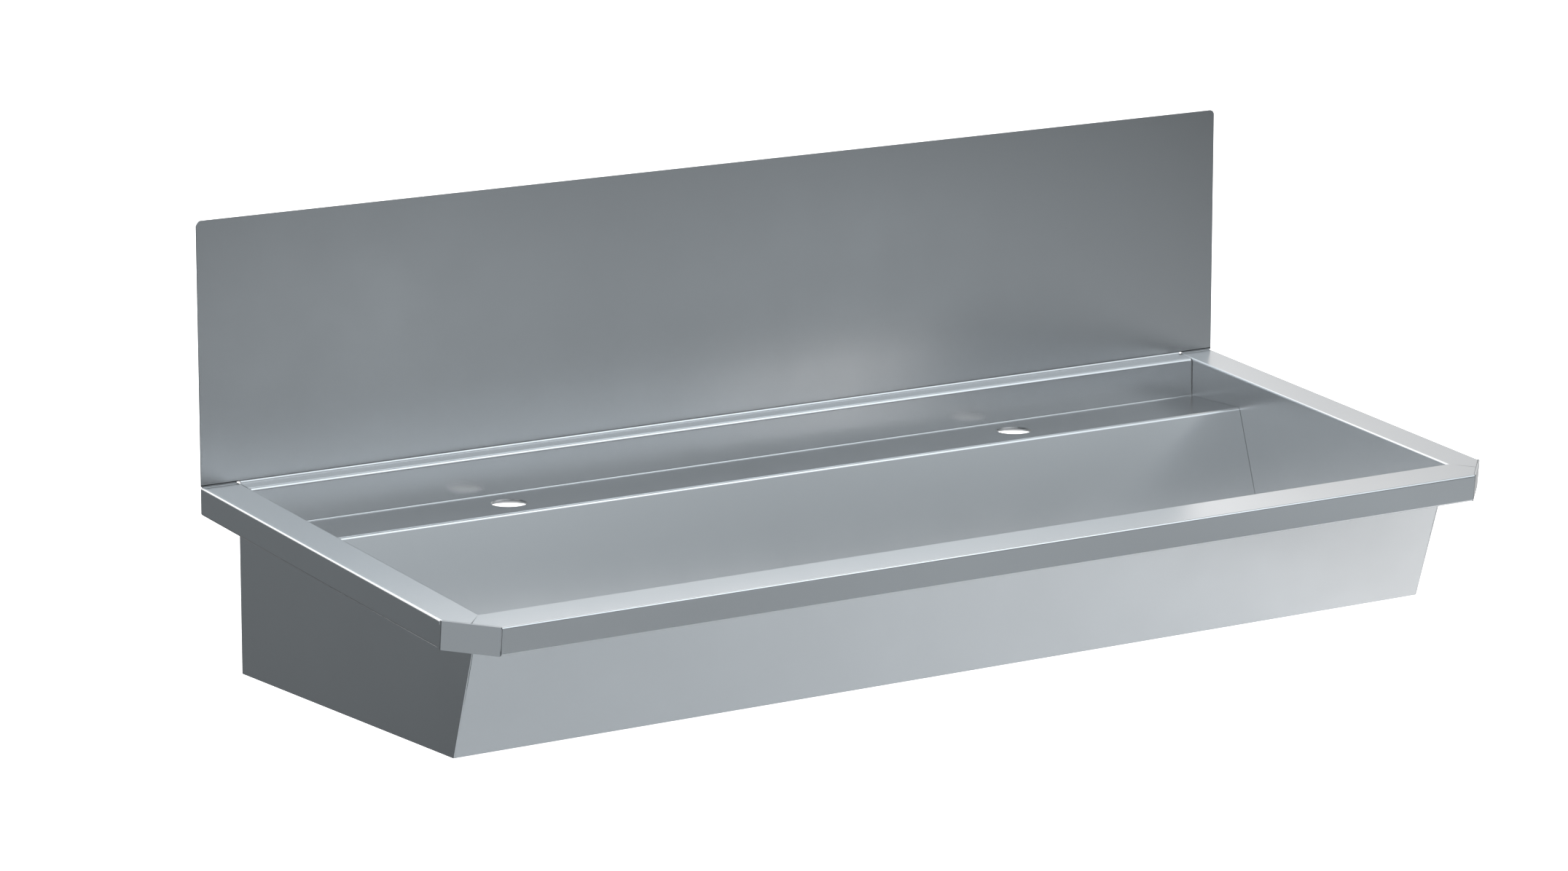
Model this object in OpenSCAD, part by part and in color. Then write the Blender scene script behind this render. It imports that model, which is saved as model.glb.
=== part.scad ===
// Wall-hung trough sink in satin stainless sheet, with splashback and tap ledge.
// Millimetres. X runs along the wall, -Y points out from the wall, +Z is up.
// The wall is the plane y = 0 and the origin is the centre of the four wall-fixing holes.

/* [Overall] */
// Length along the wall
trough_l = 1200; // [1000:50:1500]
// Wall to the front edge of the rim
depth = 467; // [455:1:480]
// Height of the splashback above the rim
splash_h = 252; // [150:1:400]
// Rim at the wall down to the underside of the basin
basin_h = 184; // [170:1:210]
// Rim at the wall down to the centre of the wall fixings
fixing_drop = 110; // [100:1:125]

/* [Sheet metal] */
// Thickness of the stainless sheet
sheet = 1.5; // [1.2:0.1:2]
// Inside radius of the bends
bend_r = 2; // [1:0.5:3]
// Gap in a welded butt seam
seam = 0.15; // [0.1:0.05:0.3]
// Gap in an open seam that stays visible
open_seam = 1; // [0.6:0.1:1.4]

/* [Rim] */
// Fall of the rim towards the front, in degrees
rim_fall = 5.8; // [4:0.1:7]
// Width of the rim at each end
end_rim_w = 40.7; // [36:0.1:46]
// Depth of the apron that hangs from the rim
apron_h = 27; // [22:1:35]
// Width of the rim at the front, down its slope
front_rim_w = 41.5; // [38:0.5:46]
// Cut-off at the two front corners
chamfer = 39; // [32:1:42]
// Width of the safety return under the apron
return_w = 10; // [6:1:14]

/* [Splashback and tap ledge] */
// Corner radius at the top of the splashback
splash_corner_r = 5; // [2:1:12]
// Radius of the relief notches at the ends of the splashback's lower bend
relief_r = 2; // [1.5:0.5:2.5]
// Width of the strip between splashback and back wall
strip_w = 20.5; // [16:0.5:26]
// Rim at the wall down to the tap ledge
ledge_drop = 41; // [36:1:50]
// Width of the tap ledge
ledge_w = 79; // [76:1:90]
// Distance between the two tap holes
tap_spacing = 600; // [500:10:700]
// Diameter of the tap holes
tap_d = 35; // [32:1:38]
// Wall to the centre of the tap holes
tap_from_wall = 61.5; // [60:0.5:64]

/* [Basin] */
// Lean of the front wall and the rear slope, in degrees from upright
slant = 17.8; // [15:0.1:19]
// Fall of the floor to the waste
floor_fall = 7; // [4:1:10]
// Side of the flat square round the waste
waste_pad = 96; // [92:1:104]
// Wall to the centre of the waste
waste_from_wall = 230; // [225:1:240]

/* [Waste] */
// Radius of the waste's flange
flange_r = 38; // [36:0.5:40]
// Thickness of the flange
flange_t = 3; // [2.5:0.5:4]
// Radius of the shank that passes through the floor
shank_r = 25; // [24.5:0.25:26]
// Radius of the outlet's thread
outlet_r = 23.9; // [23.5:0.1:24.2]
// Free length of the outlet's thread
outlet_l = 12; // [10:1:30]
// Radius of the waterway
waterway_r = 20.5; // [18:0.5:21]
// Radius of the strainer plate
strainer_r = 30; // [27:0.5:32]
// Thickness of the strainer plate
strainer_t = 1.5; // [1:0.1:2]
// Diameter of the strainer's holes
strainer_hole_d = 5.5; // [4:0.5:6]
// Thickness of the seal under the flange
seal_t = 1.5; // [1:0.5:2]
// Thickness of the gasket under the floor
gasket_t = 2.5; // [2:0.5:4]
// Thickness of the slip washer
slip_washer_t = 1.5; // [1:0.5:3]
// Height of the lock nut
locknut_h = 9; // [8:1:14]
// Width of the lock nut across its flats
locknut_af = 66; // [64:1:72]
// Radius of the strainer screw's thread
strainer_screw_r = 3; // [2.5:0.5:3]

/* [Wall fixing] */
// End of the trough to the centre of the nearer bracket
bracket_inset = 160; // [130:5:180]
// Width of a bracket
bracket_w = 50; // [40:1:60]
// Thickness of the bracket's plate
bracket_t = 4; // [3:0.5:5]
// Wall to the tip of the bracket's arm
bracket_arm = 86; // [80:1:90]
// Height of the bracket
bracket_h = 124; // [116:1:130]
// Distance between the upper and lower wall holes
wall_hole_pitch = 70; // [60:1:80]
// Diameter of the wall holes
wall_hole_d = 9; // [7:0.5:10]
// Diameter of the studs that hold the ledge to the brackets
stud_d = 8; // [6:1:8]
// Length of the studs
stud_l = 22; // [20:1:30]
// Wall to the centre of the studs
stud_from_wall = 50; // [45:1:56]
// Thickness of the rubber pads on the brackets
rest_pad_t = 2; // [1:0.5:3]

/* [Stiffening, damping and bonding] */
// Thickness of the plates under the tap holes
tap_plate_t = 3; // [2:0.5:4]
// Length of the tap-hole plates along the wall
tap_plate_l = 90; // [80:1:120]
// Width of the tap-hole plates
tap_plate_w = 62; // [56:1:66]
// Thickness of the sound-deadening pads
sound_pad_t = 3; // [2:0.5:5]
// Length of a sound-deadening pad
sound_pad_l = 300; // [200:10:320]
// Width of a sound-deadening pad
sound_pad_w = 100; // [60:5:110]
// Diameter of the hole in the earthing tag
earth_hole_d = 6.5; // [5:0.5:7]

/* [Hidden] */
$fn = 64;

bend_steps = 6;                       // flats that make up one bend
half_l = trough_l / 2;
rim_z = fixing_drop;                  // top of the rim at the wall
rim_tan = tan(rim_fall);
slant_tan = tan(slant);
wall_in = sheet / cos(slant);         // a leaning wall's thickness, measured level
inner_x = half_l - end_rim_w;         // inner face of the end walls
back_wall_y = -(sheet + strip_w);     // inner face of the back wall
ledge_z = rim_z - ledge_drop;         // top of the tap ledge
ledge_front_y = back_wall_y - ledge_w;
ledge_under_z = ledge_z - sheet;
foot_z = rim_z - basin_h;             // underside of the basin's edges
floor_z = foot_z + sheet;             // top of the floor along its edges

// In the rim's own plane: v is the distance down its slope from the splashback's face
rim_v = (depth - sheet) / cos(rim_fall);
inner_v = rim_v - front_rim_w;

// Height of the rim's top at a distance from the wall
function rim_at(y) = rim_z + (y + sheet) * rim_tan;
// Where the front wall's inner face meets the rim
front_edge_y = -sheet - inner_v * cos(rim_fall);
// Inner face of the front wall at a height
function front_wall_y(z) = front_edge_y + slant_tan * (rim_at(front_edge_y) - z);
// Front face of the rear slope at a height
function rear_slope_y(z) = ledge_front_y - slant_tan * (ledge_z - z);

front_foot_out_y = front_wall_y(foot_z) - wall_in;
bracket_x = half_l - bracket_inset;
chamfer_v = rim_v - chamfer;
flap_clear = (sheet + 0.6) * sqrt(2); // from the chamfer's face to the rim's cut edge, along v
apron_end_x = half_l - chamfer - open_seam / 2;

wing_gap = 1;                         // rim to the lower edge of the splashback's wings
wing_corner_r = 3;
fold_x = inner_x - open_seam;         // end of the folded strip and back wall

floor_back_y = rear_slope_y(foot_z) - seam;
floor_front_y = front_wall_y(foot_z) + seam;
sheet_x = inner_x - seam;             // half-length of ledge, floor and front wall

waste_y = -waste_from_wall;
pad_z = floor_z - floor_fall;         // top of the flat square round the waste
well_r = flange_r + 2;
well_z = pad_z - seal_t - flange_t;   // top of the well that the waste sits in
shank_clear = 0.3;
locknut_top_z = well_z - sheet - gasket_t - slip_washer_t;
outlet_z = locknut_top_z - locknut_h - outlet_l;
strainer_screw_l = 11;
bridge_h = 8;                         // bridge that the strainer screws to

bracket_top_z = ledge_under_z - rest_pad_t;
stud_clear = 0.5;
washer_t = 1.6;
nut_h = 6.5;
nut_af = 13;
thread_clear = 0.1;

// ---- folded sheet ----

function unit(v) = v / norm(v);
function left_of(d) = [-d[1], d[0]];
function turned(d, a) = [d[0] * cos(a) - d[1] * sin(a), d[0] * sin(a) + d[1] * cos(a)];
function bend_angle(d1, d2) = atan2(d1[0] * d2[1] - d1[1] * d2[0], d1[0] * d2[0] + d1[1] * d2[1]);

// Points of one bend at corner p, on the path's face (side 0) or a thickness to its left (side 1)
function bend_points(a, p, b, t, r, side) =
    let (d1 = unit(p - a), d2 = unit(b - p), turn = bend_angle(d1, d2), s = sign(turn))
    let (face_r = turn > 0 ? r + t : r, reach = face_r * tan(abs(turn) / 2))
    let (centre = p - d1 * reach + left_of(d1) * s * face_r)
    [for (k = [0:bend_steps])
        let (n = left_of(turned(d1, turn * k / bend_steps)))
        centre - n * s * face_r + n * t * side];

function face_points(path, t, r, side) =
    let (last = len(path) - 1, d0 = unit(path[1] - path[0]), d1 = unit(path[last] - path[last - 1]))
    concat(
        [path[0] + left_of(d0) * t * side],
        [for (i = [1:1:last - 1]) each bend_points(path[i - 1], path[i], path[i + 1], t, r, side)],
        [path[last] + left_of(d1) * t * side]);

function reversed(list) = [for (i = [len(list) - 1:-1:0]) list[i]];

// Section of a folded sheet: the path is one face, and the sheet lies to its left
module fold_section(path, t = sheet, r = bend_r) {
    polygon(concat(face_points(path, t, r, 0), reversed(face_points(path, t, r, 1))));
}

// Carries a section drawn in (y, z) along X, from x0 to x1
module along_x(x0, x1) {
    translate([x0, 0, 0]) rotate([90, 0, 90]) linear_extrude(x1 - x0) children();
}

// Frame of the rim: children stand on its top surface, with -Y down the slope
module on_rim() {
    translate([0, -sheet, rim_z]) rotate([rim_fall, 0, 0]) children();
}

module both_sides(x) {
    for (side = [-1, 1]) translate([side * x, 0, 0]) children();
}

// ---- sheet-metal body ----

module splashback() {
    panel_bottom = rim_z + wing_gap;
    panel_top = rim_z + splash_h;
    fold_path = [
        [-sheet, rim_z + 12], [-sheet, rim_z],
        [back_wall_y, rim_at(back_wall_y)], [back_wall_y, ledge_under_z]
    ];
    color("#8f969b") difference() {
        union() {
            rotate([90, 0, 0]) linear_extrude(sheet) splash_outline(panel_bottom, panel_top);
            along_x(-fold_x, fold_x) fold_section(fold_path);
        }
        both_sides(inner_x + open_seam)
            translate([0, sheet, panel_bottom]) rotate([90, 0, 0])
                cylinder(r = relief_r, h = 3 * sheet);
    }
}

// Front view of the splashback: rounded at the top, tighter at the foot of its wings
module splash_outline(z0, z1) {
    foot_x = half_l - wing_corner_r;
    head_x = half_l - splash_corner_r;
    for (side = [-1, 1]) {
        translate([side * head_x, z1 - splash_corner_r]) circle(splash_corner_r);
        translate([side * foot_x, z0 + wing_corner_r]) circle(wing_corner_r);
    }
    translate([-head_x, z1 - 2 * splash_corner_r]) square([2 * head_x, 2 * splash_corner_r]);
    translate([-foot_x, z0]) square([2 * foot_x, 2 * wing_corner_r]);
    translate([-half_l, z0 + wing_corner_r])
        square([trough_l, z1 - z0 - wing_corner_r - splash_corner_r]);
}

module tap_ledge() {
    cut_z = foot_z - 2 * sheet;
    path = [
        [back_wall_y - seam, ledge_z], [ledge_front_y, ledge_z], [rear_slope_y(cut_z), cut_z]
    ];
    color("#9aa1a6") difference() {
        along_x(-sheet_x, sheet_x) fold_section(path);
        tap_holes(ledge_z, ledge_under_z);
        below_foot();
    }
}

// Everything under the basin's lower edge, to trim the leaning sheets level
module below_foot() {
    translate([-trough_l, -2 * depth, foot_z - basin_h]) cube([2 * trough_l, 2 * depth, basin_h]);
}

module tap_holes(top, bottom) {
    both_sides(tap_spacing / 2)
        translate([0, -tap_from_wall, bottom - 1]) cylinder(d = tap_d, h = top - bottom + 2);
}

module front_sheet() {
    rim_out = [-sin(rim_fall), cos(rim_fall)];
    rim_back = [cos(rim_fall), sin(rim_fall)];
    edge = [-depth, rim_at(-depth)];
    apron_foot = edge - rim_out * apron_h;
    cut_z = foot_z - 2 * sheet;
    path = [
        [front_wall_y(cut_z), cut_z], [front_edge_y, rim_at(front_edge_y)], edge,
        apron_foot, apron_foot + rim_back * return_w
    ];
    color("#a3aaae") difference() {
        intersection() {
            along_x(-half_l, half_l) fold_section(path);
            on_rim() translate([0, 0, -2 * basin_h]) linear_extrude(2 * basin_h + 5)
                front_plan();
        }
        below_foot();
    }
}

// Plan of the front sheet in the rim's plane: mitred to the end rims, clear of the corner flaps
module front_plan() {
    mitre = (half_l - sheet_x + rim_v - inner_v - chamfer - flap_clear) / 2;
    step_v = rim_v - 2;
    cut_x = half_l - (step_v - chamfer_v + flap_clear);
    half = [
        [sheet_x, 5], [sheet_x, -inner_v], [sheet_x + mitre, -(inner_v + mitre)],
        [cut_x, -step_v], [apron_end_x, -step_v], [apron_end_x, -(rim_v + 5)]
    ];
    polygon(concat(half, [for (p = reversed(half)) [-p[0], p[1]]]));
}

module left_end() {
    color("#858c91") end_sheet();
}

module right_end() {
    color("#858c91") mirror([1, 0, 0]) end_sheet();
}

// One end of the trough: end wall, rim, apron with its corner flap, and wall flange
module end_sheet() {
    overlap = 6;
    intersection() {
        union() {
            on_rim() {
                intersection() {
                    rotate([90, 0, 0]) translate([0, 0, -5]) linear_extrude(rim_v)
                        fold_section(end_path(2 * overlap));
                    translate([0, 0, -2 * apron_h]) linear_extrude(2 * apron_h + 5) end_plan();
                }
                corner_flap();
            }
            end_wall(overlap);
        }
        translate([-trough_l, -2 * depth, -2 * basin_h])
            cube([2 * trough_l, 2 * depth, 4 * basin_h]);
    }
}

// Section of an end rim, from the wall below its inner edge out to the apron's return
function end_path(stub) = [
    [-inner_x, -stub], [-inner_x, 0], [-half_l, 0], [-half_l, -apron_h],
    [-half_l + return_w, -apron_h]
];

// Plan of the left end's rim, in the rim's plane: mitred inside, cut back at the chamfer
module end_plan() {
    mitre = (end_rim_w + rim_v - inner_v - chamfer - flap_clear) / 2;
    inside = 14;
    polygon([
        [-half_l - 1, 5], [-inner_x + inside, 5], [-inner_x + inside, -(inner_v - inside)],
        [-(inner_x + mitre), -(inner_v + mitre)], [-half_l, -(chamfer_v - flap_clear)],
        [-half_l - 1, -(chamfer_v - flap_clear - 1)]
    ]);
}

// Flap bent round from the end apron across the chamfer, with its top edge open to the rim
module corner_flap() {
    end_gap = open_seam * 0.9;
    flap_end = [-half_l + chamfer, -rim_v] + [-end_gap, end_gap] / sqrt(2);
    for (part = [[-apron_h, -4, 8], [-6, 0, 2]])
        translate([0, 0, part[0]]) linear_extrude(part[1] - part[0])
            fold_section([[-half_l, -(chamfer_v - part[2])], [-half_l, -chamfer_v], flap_end]);
}

// Upright wall with its flange against the building's wall
module end_wall(overlap) {
    flange_w = 20;
    tip_z = rim_at(-depth);
    top_back = [5, rim_at(5) - overlap / cos(rim_fall)];
    top_front_y = front_edge_y - wall_in;
    top_front = [top_front_y, rim_at(top_front_y) - overlap / cos(rim_fall)];
    outer_y = front_wall_y(top_front[1]) - wall_in;
    along_x(-(inner_x + sheet), -inner_x) polygon([
        [5, foot_z], [front_foot_out_y, foot_z], [outer_y, top_front[1]],
        [outer_y + 4, rim_at(outer_y + 4) - overlap / cos(rim_fall)], top_back
    ]);
    translate([-(inner_x + sheet), -sheet, foot_z])
        cube([flange_w, sheet, rim_z - overlap - foot_z]);
}

module basin_floor() {
    hole_r = shank_r + shank_clear;
    color("#90979c") difference() {
        union() {
            dish(-sheet, 0);
            translate([0, waste_y, well_z - sheet])
                cylinder(r = well_r + sheet, h = pad_z - well_z + sheet / 2);
        }
        dish(0, 1);
        translate([0, waste_y, well_z]) cylinder(r = well_r, h = floor_fall + 2 * flange_r);
        translate([0, waste_y, well_z - 2 * sheet]) cylinder(r = hole_r, h = 3 * sheet);
    }
}

// Shallow four-sided hopper from the floor's edges to the flat square, moved by dz
module dish(dz, rise) {
    grow = 0.01;
    hull() {
        translate([-sheet_x, floor_front_y, floor_z + dz])
            cube([2 * sheet_x, floor_back_y - floor_front_y, grow - dz + rise]);
        translate([-waste_pad / 2, waste_y - waste_pad / 2, pad_z + dz])
            cube([waste_pad, waste_pad, grow]);
    }
}

// ---- stiffening, damping and bonding ----

module left_tap_plate() {
    color("#a9adb0") tap_plate(-tap_spacing / 2);
}

module right_tap_plate() {
    color("#a9adb0") tap_plate(tap_spacing / 2);
}

module tap_plate(x) {
    difference() {
        translate([x - tap_plate_l / 2, -tap_from_wall - tap_plate_w / 2, ledge_under_z - tap_plate_t])
            cube([tap_plate_l, tap_plate_w, tap_plate_t]);
        tap_holes(ledge_under_z, ledge_under_z - tap_plate_t);
    }
}

module left_sound_pad() {
    color("#2b2d2f") sound_pad();
}

module right_sound_pad() {
    color("#2b2d2f") mirror([1, 0, 0]) sound_pad();
}

// Pad stuck to the underside of the floor's left facet
module sound_pad() {
    run = sheet_x - waste_pad / 2;
    slope = atan(floor_fall / run);
    margin = (run - sound_pad_l) / 2;
    glue = 0.1;
    translate([-sheet_x, waste_y - sound_pad_w / 2 - 6, foot_z]) rotate([0, slope, 0])
        translate([margin, 0, -sound_pad_t - glue]) cube([sound_pad_l, sound_pad_w, sound_pad_t]);
}

// Stepped tag under the ledge for the building's bonding wire, with its hole open downwards
module earth_tag() {
    tag_w = 18;
    tag_t = 2;
    tab_l = 22;
    foot_l = 14;
    low_z = ledge_under_z - 9;
    tag_x = -tap_spacing / 2 + tap_plate_l / 2 + 20;
    tag_y = back_wall_y - 10;
    path = [
        [tag_x + tab_l + foot_l, ledge_under_z], [tag_x + tab_l, ledge_under_z],
        [tag_x + tab_l, low_z], [tag_x, low_z]
    ];
    color("#b5b8ba") difference() {
        translate([0, tag_y, 0]) rotate([90, 0, 0]) linear_extrude(tag_w)
            fold_section(path, tag_t, 1);
        translate([tag_x + tab_l / 2 - 1, tag_y - tag_w / 2, low_z - tag_t - 2])
            cylinder(d = earth_hole_d, h = tag_t + 4);
    }
}

// ---- wall fixing ----

module left_bracket() {
    color("#9fa4a8") bracket(-1);
}

module right_bracket() {
    color("#9fa4a8") bracket(1);
}

// Angle bracket with a cheek on its outer side: back against the wall, arm under the ledge
module bracket(side) {
    x = side * bracket_x;
    bottom_z = bracket_top_z - bracket_h;
    cheek_x = side > 0 ? x + bracket_w / 2 - bracket_t : x - bracket_w / 2;
    difference() {
        union() {
            along_x(x - bracket_w / 2, x + bracket_w / 2)
                fold_section([[0, bottom_z], [0, bracket_top_z], [-bracket_arm, bracket_top_z]],
                    bracket_t, 3);
            along_x(cheek_x, cheek_x + bracket_t) polygon([
                [-1, bottom_z + 6], [-1, bracket_top_z - 3], [-3, bracket_top_z - 1],
                [-bracket_arm + 6, bracket_top_z - 1], [-bracket_arm + 6, bracket_top_z - 12],
                [-12, bottom_z + 6]
            ]);
        }
        for (z = [-1, 1] * wall_hole_pitch / 2)
            translate([x, 1, z]) rotate([90, 0, 0]) cylinder(d = wall_hole_d, h = bracket_t + 2);
        translate([x, -stud_from_wall, bracket_top_z - bracket_t - 1])
            cylinder(d = stud_d + 2 * stud_clear, h = bracket_t + 2);
    }
}

module bracket_pads() {
    pad_w = bracket_w - 4;
    pad_l = bracket_arm - 14;
    color("#1f2123") both_sides(bracket_x) difference() {
        translate([-pad_w / 2, -bracket_arm + 4, bracket_top_z]) cube([pad_w, pad_l, rest_pad_t]);
        translate([0, -stud_from_wall, bracket_top_z - 1])
            cylinder(d = stud_d + 2 * stud_clear, h = rest_pad_t + 2);
    }
}

module ledge_studs() {
    color("#b9bdc0") at_studs(ledge_under_z - stud_l) cylinder(d = stud_d, h = stud_l);
}

module stud_washers() {
    color("#c3c6c8") at_studs(bracket_top_z - bracket_t - washer_t)
        ring(stud_d, stud_d / 2 + 0.3, washer_t);
}

module stud_nuts() {
    color("#c3c6c8") at_studs(bracket_top_z - bracket_t - washer_t - nut_h)
        hex_nut(nut_af, stud_d / 2 + thread_clear, nut_h);
}

module at_studs(z) {
    both_sides(bracket_x) translate([0, -stud_from_wall, z]) children();
}

module ring(outer_r, inner_r, h) {
    difference() {
        cylinder(r = outer_r, h = h);
        translate([0, 0, -1]) cylinder(r = inner_r, h = h + 2);
    }
}

module hex_nut(af, bore_r, h) {
    difference() {
        cylinder(d = af / cos(30), h = h, $fn = 6);
        translate([0, 0, -1]) cylinder(r = bore_r, h = h + 2);
    }
}

// ---- waste ----

module at_waste(z) {
    translate([0, waste_y, z]) children();
}

// Flange, shank and threaded outlet in one casting, with the bridge that takes the screw
module waste_body() {
    flange_z = well_z + seal_t;
    shank_l = flange_z - (locknut_top_z - locknut_h);
    bridge_z = flange_z + flange_t - strainer_t - bridge_h;
    color("#b4b8bb") at_waste(0) {
        difference() {
            union() {
                translate([0, 0, flange_z]) cylinder(r = flange_r, h = flange_t);
                translate([0, 0, flange_z - shank_l]) cylinder(r = shank_r, h = shank_l + 1);
                translate([0, 0, outlet_z]) cylinder(r = outlet_r, h = outlet_l + 1);
            }
            translate([0, 0, outlet_z - 1]) cylinder(r = waterway_r, h = flange_z - outlet_z + 20);
            translate([0, 0, flange_z + flange_t - strainer_t])
                cylinder(r = strainer_r + 0.4, h = strainer_t + 1);
        }
        waste_bridge(bridge_z);
    }
}

// Three spokes and a tapped boss across the waterway
module waste_bridge(z) {
    boss_r = 6;
    spoke_w = 3;
    difference() {
        union() {
            translate([0, 0, z]) cylinder(r = boss_r, h = bridge_h);
            for (a = [0:120:240]) rotate([0, 0, a])
                translate([0, -spoke_w / 2, z]) cube([waterway_r + 1, spoke_w, bridge_h]);
        }
        translate([0, 0, z - 1]) cylinder(r = strainer_screw_r + thread_clear, h = bridge_h + 2);
    }
}

module waste_seal() {
    color("#202224") at_waste(well_z) ring(flange_r - 1, shank_r + shank_clear, seal_t);
}

module waste_gasket() {
    color("#202224") at_waste(well_z - sheet - gasket_t)
        ring(shank_r + 9, shank_r + shank_clear, gasket_t);
}

module waste_slip_washer() {
    color("#d8d8d2") at_waste(locknut_top_z) ring(shank_r + 8.5, shank_r + shank_clear, slip_washer_t);
}

module waste_locknut() {
    color("#c9cbc8") at_waste(locknut_top_z - locknut_h)
        hex_nut(locknut_af, shank_r + thread_clear, locknut_h);
}

// Perforated plate, flush with the flange
module waste_strainer() {
    top_z = pad_z - strainer_t;
    rings = [[10.5, 6], [16.6, 12]];
    color("#c2c6c8") at_waste(top_z) difference() {
        cylinder(r = strainer_r, h = strainer_t);
        translate([0, 0, -1]) {
            cylinder(r = strainer_screw_r + 0.3, h = strainer_t + 2);
            for (row = rings, k = [0:row[1] - 1]) rotate([0, 0, (k + 0.5) * 360 / row[1]])
                translate([row[0], 0, 0]) cylinder(d = strainer_hole_d, h = strainer_t + 2);
        }
    }
}

// Low domed screw that holds the strainer to the bridge
module strainer_screw() {
    head_r = 5.5;
    head_h = 1.8;
    color("#d0d3d5") at_waste(pad_z) difference() {
        union() {
            cylinder(r = head_r, h = head_h);
            translate([0, 0, -strainer_screw_l]) cylinder(r = strainer_screw_r, h = strainer_screw_l);
        }
        translate([-head_r, -0.6, head_h - 1]) cube([2 * head_r, 1.2, 2]);
    }
}

splashback();
tap_ledge();
basin_floor();
front_sheet();
left_end();
right_end();
left_tap_plate();
right_tap_plate();
left_sound_pad();
right_sound_pad();
earth_tag();
left_bracket();
right_bracket();
bracket_pads();
ledge_studs();
stud_washers();
stud_nuts();
waste_body();
waste_seal();
waste_gasket();
waste_slip_washer();
waste_locknut();
waste_strainer();
strainer_screw();
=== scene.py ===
"""Wall-hung trough sink in satin stainless sheet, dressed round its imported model.

Everything is in the wall frame: X along the wall, -Y out from it, Z up, and the origin in the
middle of the four wall fixings. Sizes are written in millimetres and become metres when a mesh
is made. A sheet is worked out as two faces, near and far, that are a thickness apart.
"""

import logging
import math
from dataclasses import dataclass
from enum import Enum

import bmesh
import bpy
import numpy as np
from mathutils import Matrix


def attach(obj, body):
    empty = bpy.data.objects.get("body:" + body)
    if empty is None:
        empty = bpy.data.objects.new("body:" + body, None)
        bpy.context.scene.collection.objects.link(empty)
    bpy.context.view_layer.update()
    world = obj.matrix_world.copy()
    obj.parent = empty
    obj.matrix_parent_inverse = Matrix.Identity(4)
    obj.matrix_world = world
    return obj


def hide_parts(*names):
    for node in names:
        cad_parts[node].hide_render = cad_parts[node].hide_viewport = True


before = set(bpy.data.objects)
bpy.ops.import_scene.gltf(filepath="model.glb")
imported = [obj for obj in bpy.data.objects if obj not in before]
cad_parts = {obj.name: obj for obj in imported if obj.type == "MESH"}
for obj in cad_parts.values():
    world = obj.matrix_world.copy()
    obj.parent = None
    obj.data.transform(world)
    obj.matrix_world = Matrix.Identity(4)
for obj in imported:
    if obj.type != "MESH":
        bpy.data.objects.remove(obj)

Array = np.ndarray
Pair = tuple[Array, Array]
MM = 0.001
SHARP_ANGLE = math.radians(38.0)
FIRST_CORNER = math.radians(-135.0)
# Points in the same cell count as one. The shift keeps round sizes off the cells' borders.
CELLS_PER_MM = 500.0
CELL_SHIFT = 0.37
TINY = 0.001
LOG = logging.getLogger("trough")


# ---- meshes from arrays ----


def make_piece(name: str, points: Array, faces: Array, smooth: bool = True) -> bpy.types.Object:
    """Puts worked-out points and faces into a mesh object at the origin.

    Args:
        name: Name of the piece.
        points: Points in millimetres, one row each.
        faces: Point numbers, one row for each face. A repeated number makes a triangle.
        smooth: Whether faces that meet at a small angle are shaded as one surface.

    Returns:
        The new object, linked to the scene.
    """
    clean = [tuple(dict.fromkeys(row)) for row in faces.tolist()]
    mesh = bpy.data.meshes.new(name)
    mesh.from_pydata((points * MM).tolist(), [], [row for row in clean if len(row) > 2])
    mesh.validate()
    if smooth:
        mesh.polygons.foreach_set("use_smooth", np.ones(len(mesh.polygons), bool))
        mesh.set_sharp_from_angle(angle=SHARP_ANGLE)
    piece = bpy.data.objects.new(name, mesh)
    bpy.context.scene.collection.objects.link(piece)
    return piece


def grid_faces(rows: int, columns: int) -> Array:
    """Faces of a grid of points: each joins a point to its right, upper and upper right one.

    Args:
        rows: Number of rows.
        columns: Number of points in a row.

    Returns:
        Point numbers, four for each face.
    """
    number = np.arange(rows * columns).reshape(rows, columns)
    return np.stack(
        [number[:-1, :-1], number[:-1, 1:], number[1:, 1:], number[1:, :-1]], -1
    ).reshape(-1, 4)


def merge(rows: Array) -> Pair:
    """Finds the points that agree.

    Args:
        rows: Coordinates in millimetres, one row for each point.

    Returns:
        One row's number for each place, and the place's number for each row.
    """
    cells = np.floor(rows * CELLS_PER_MM + CELL_SHIFT).astype(np.int64)
    first, place = np.unique(cells, axis=0, return_index=True, return_inverse=True)[1:]
    return first, place.reshape(-1)


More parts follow.
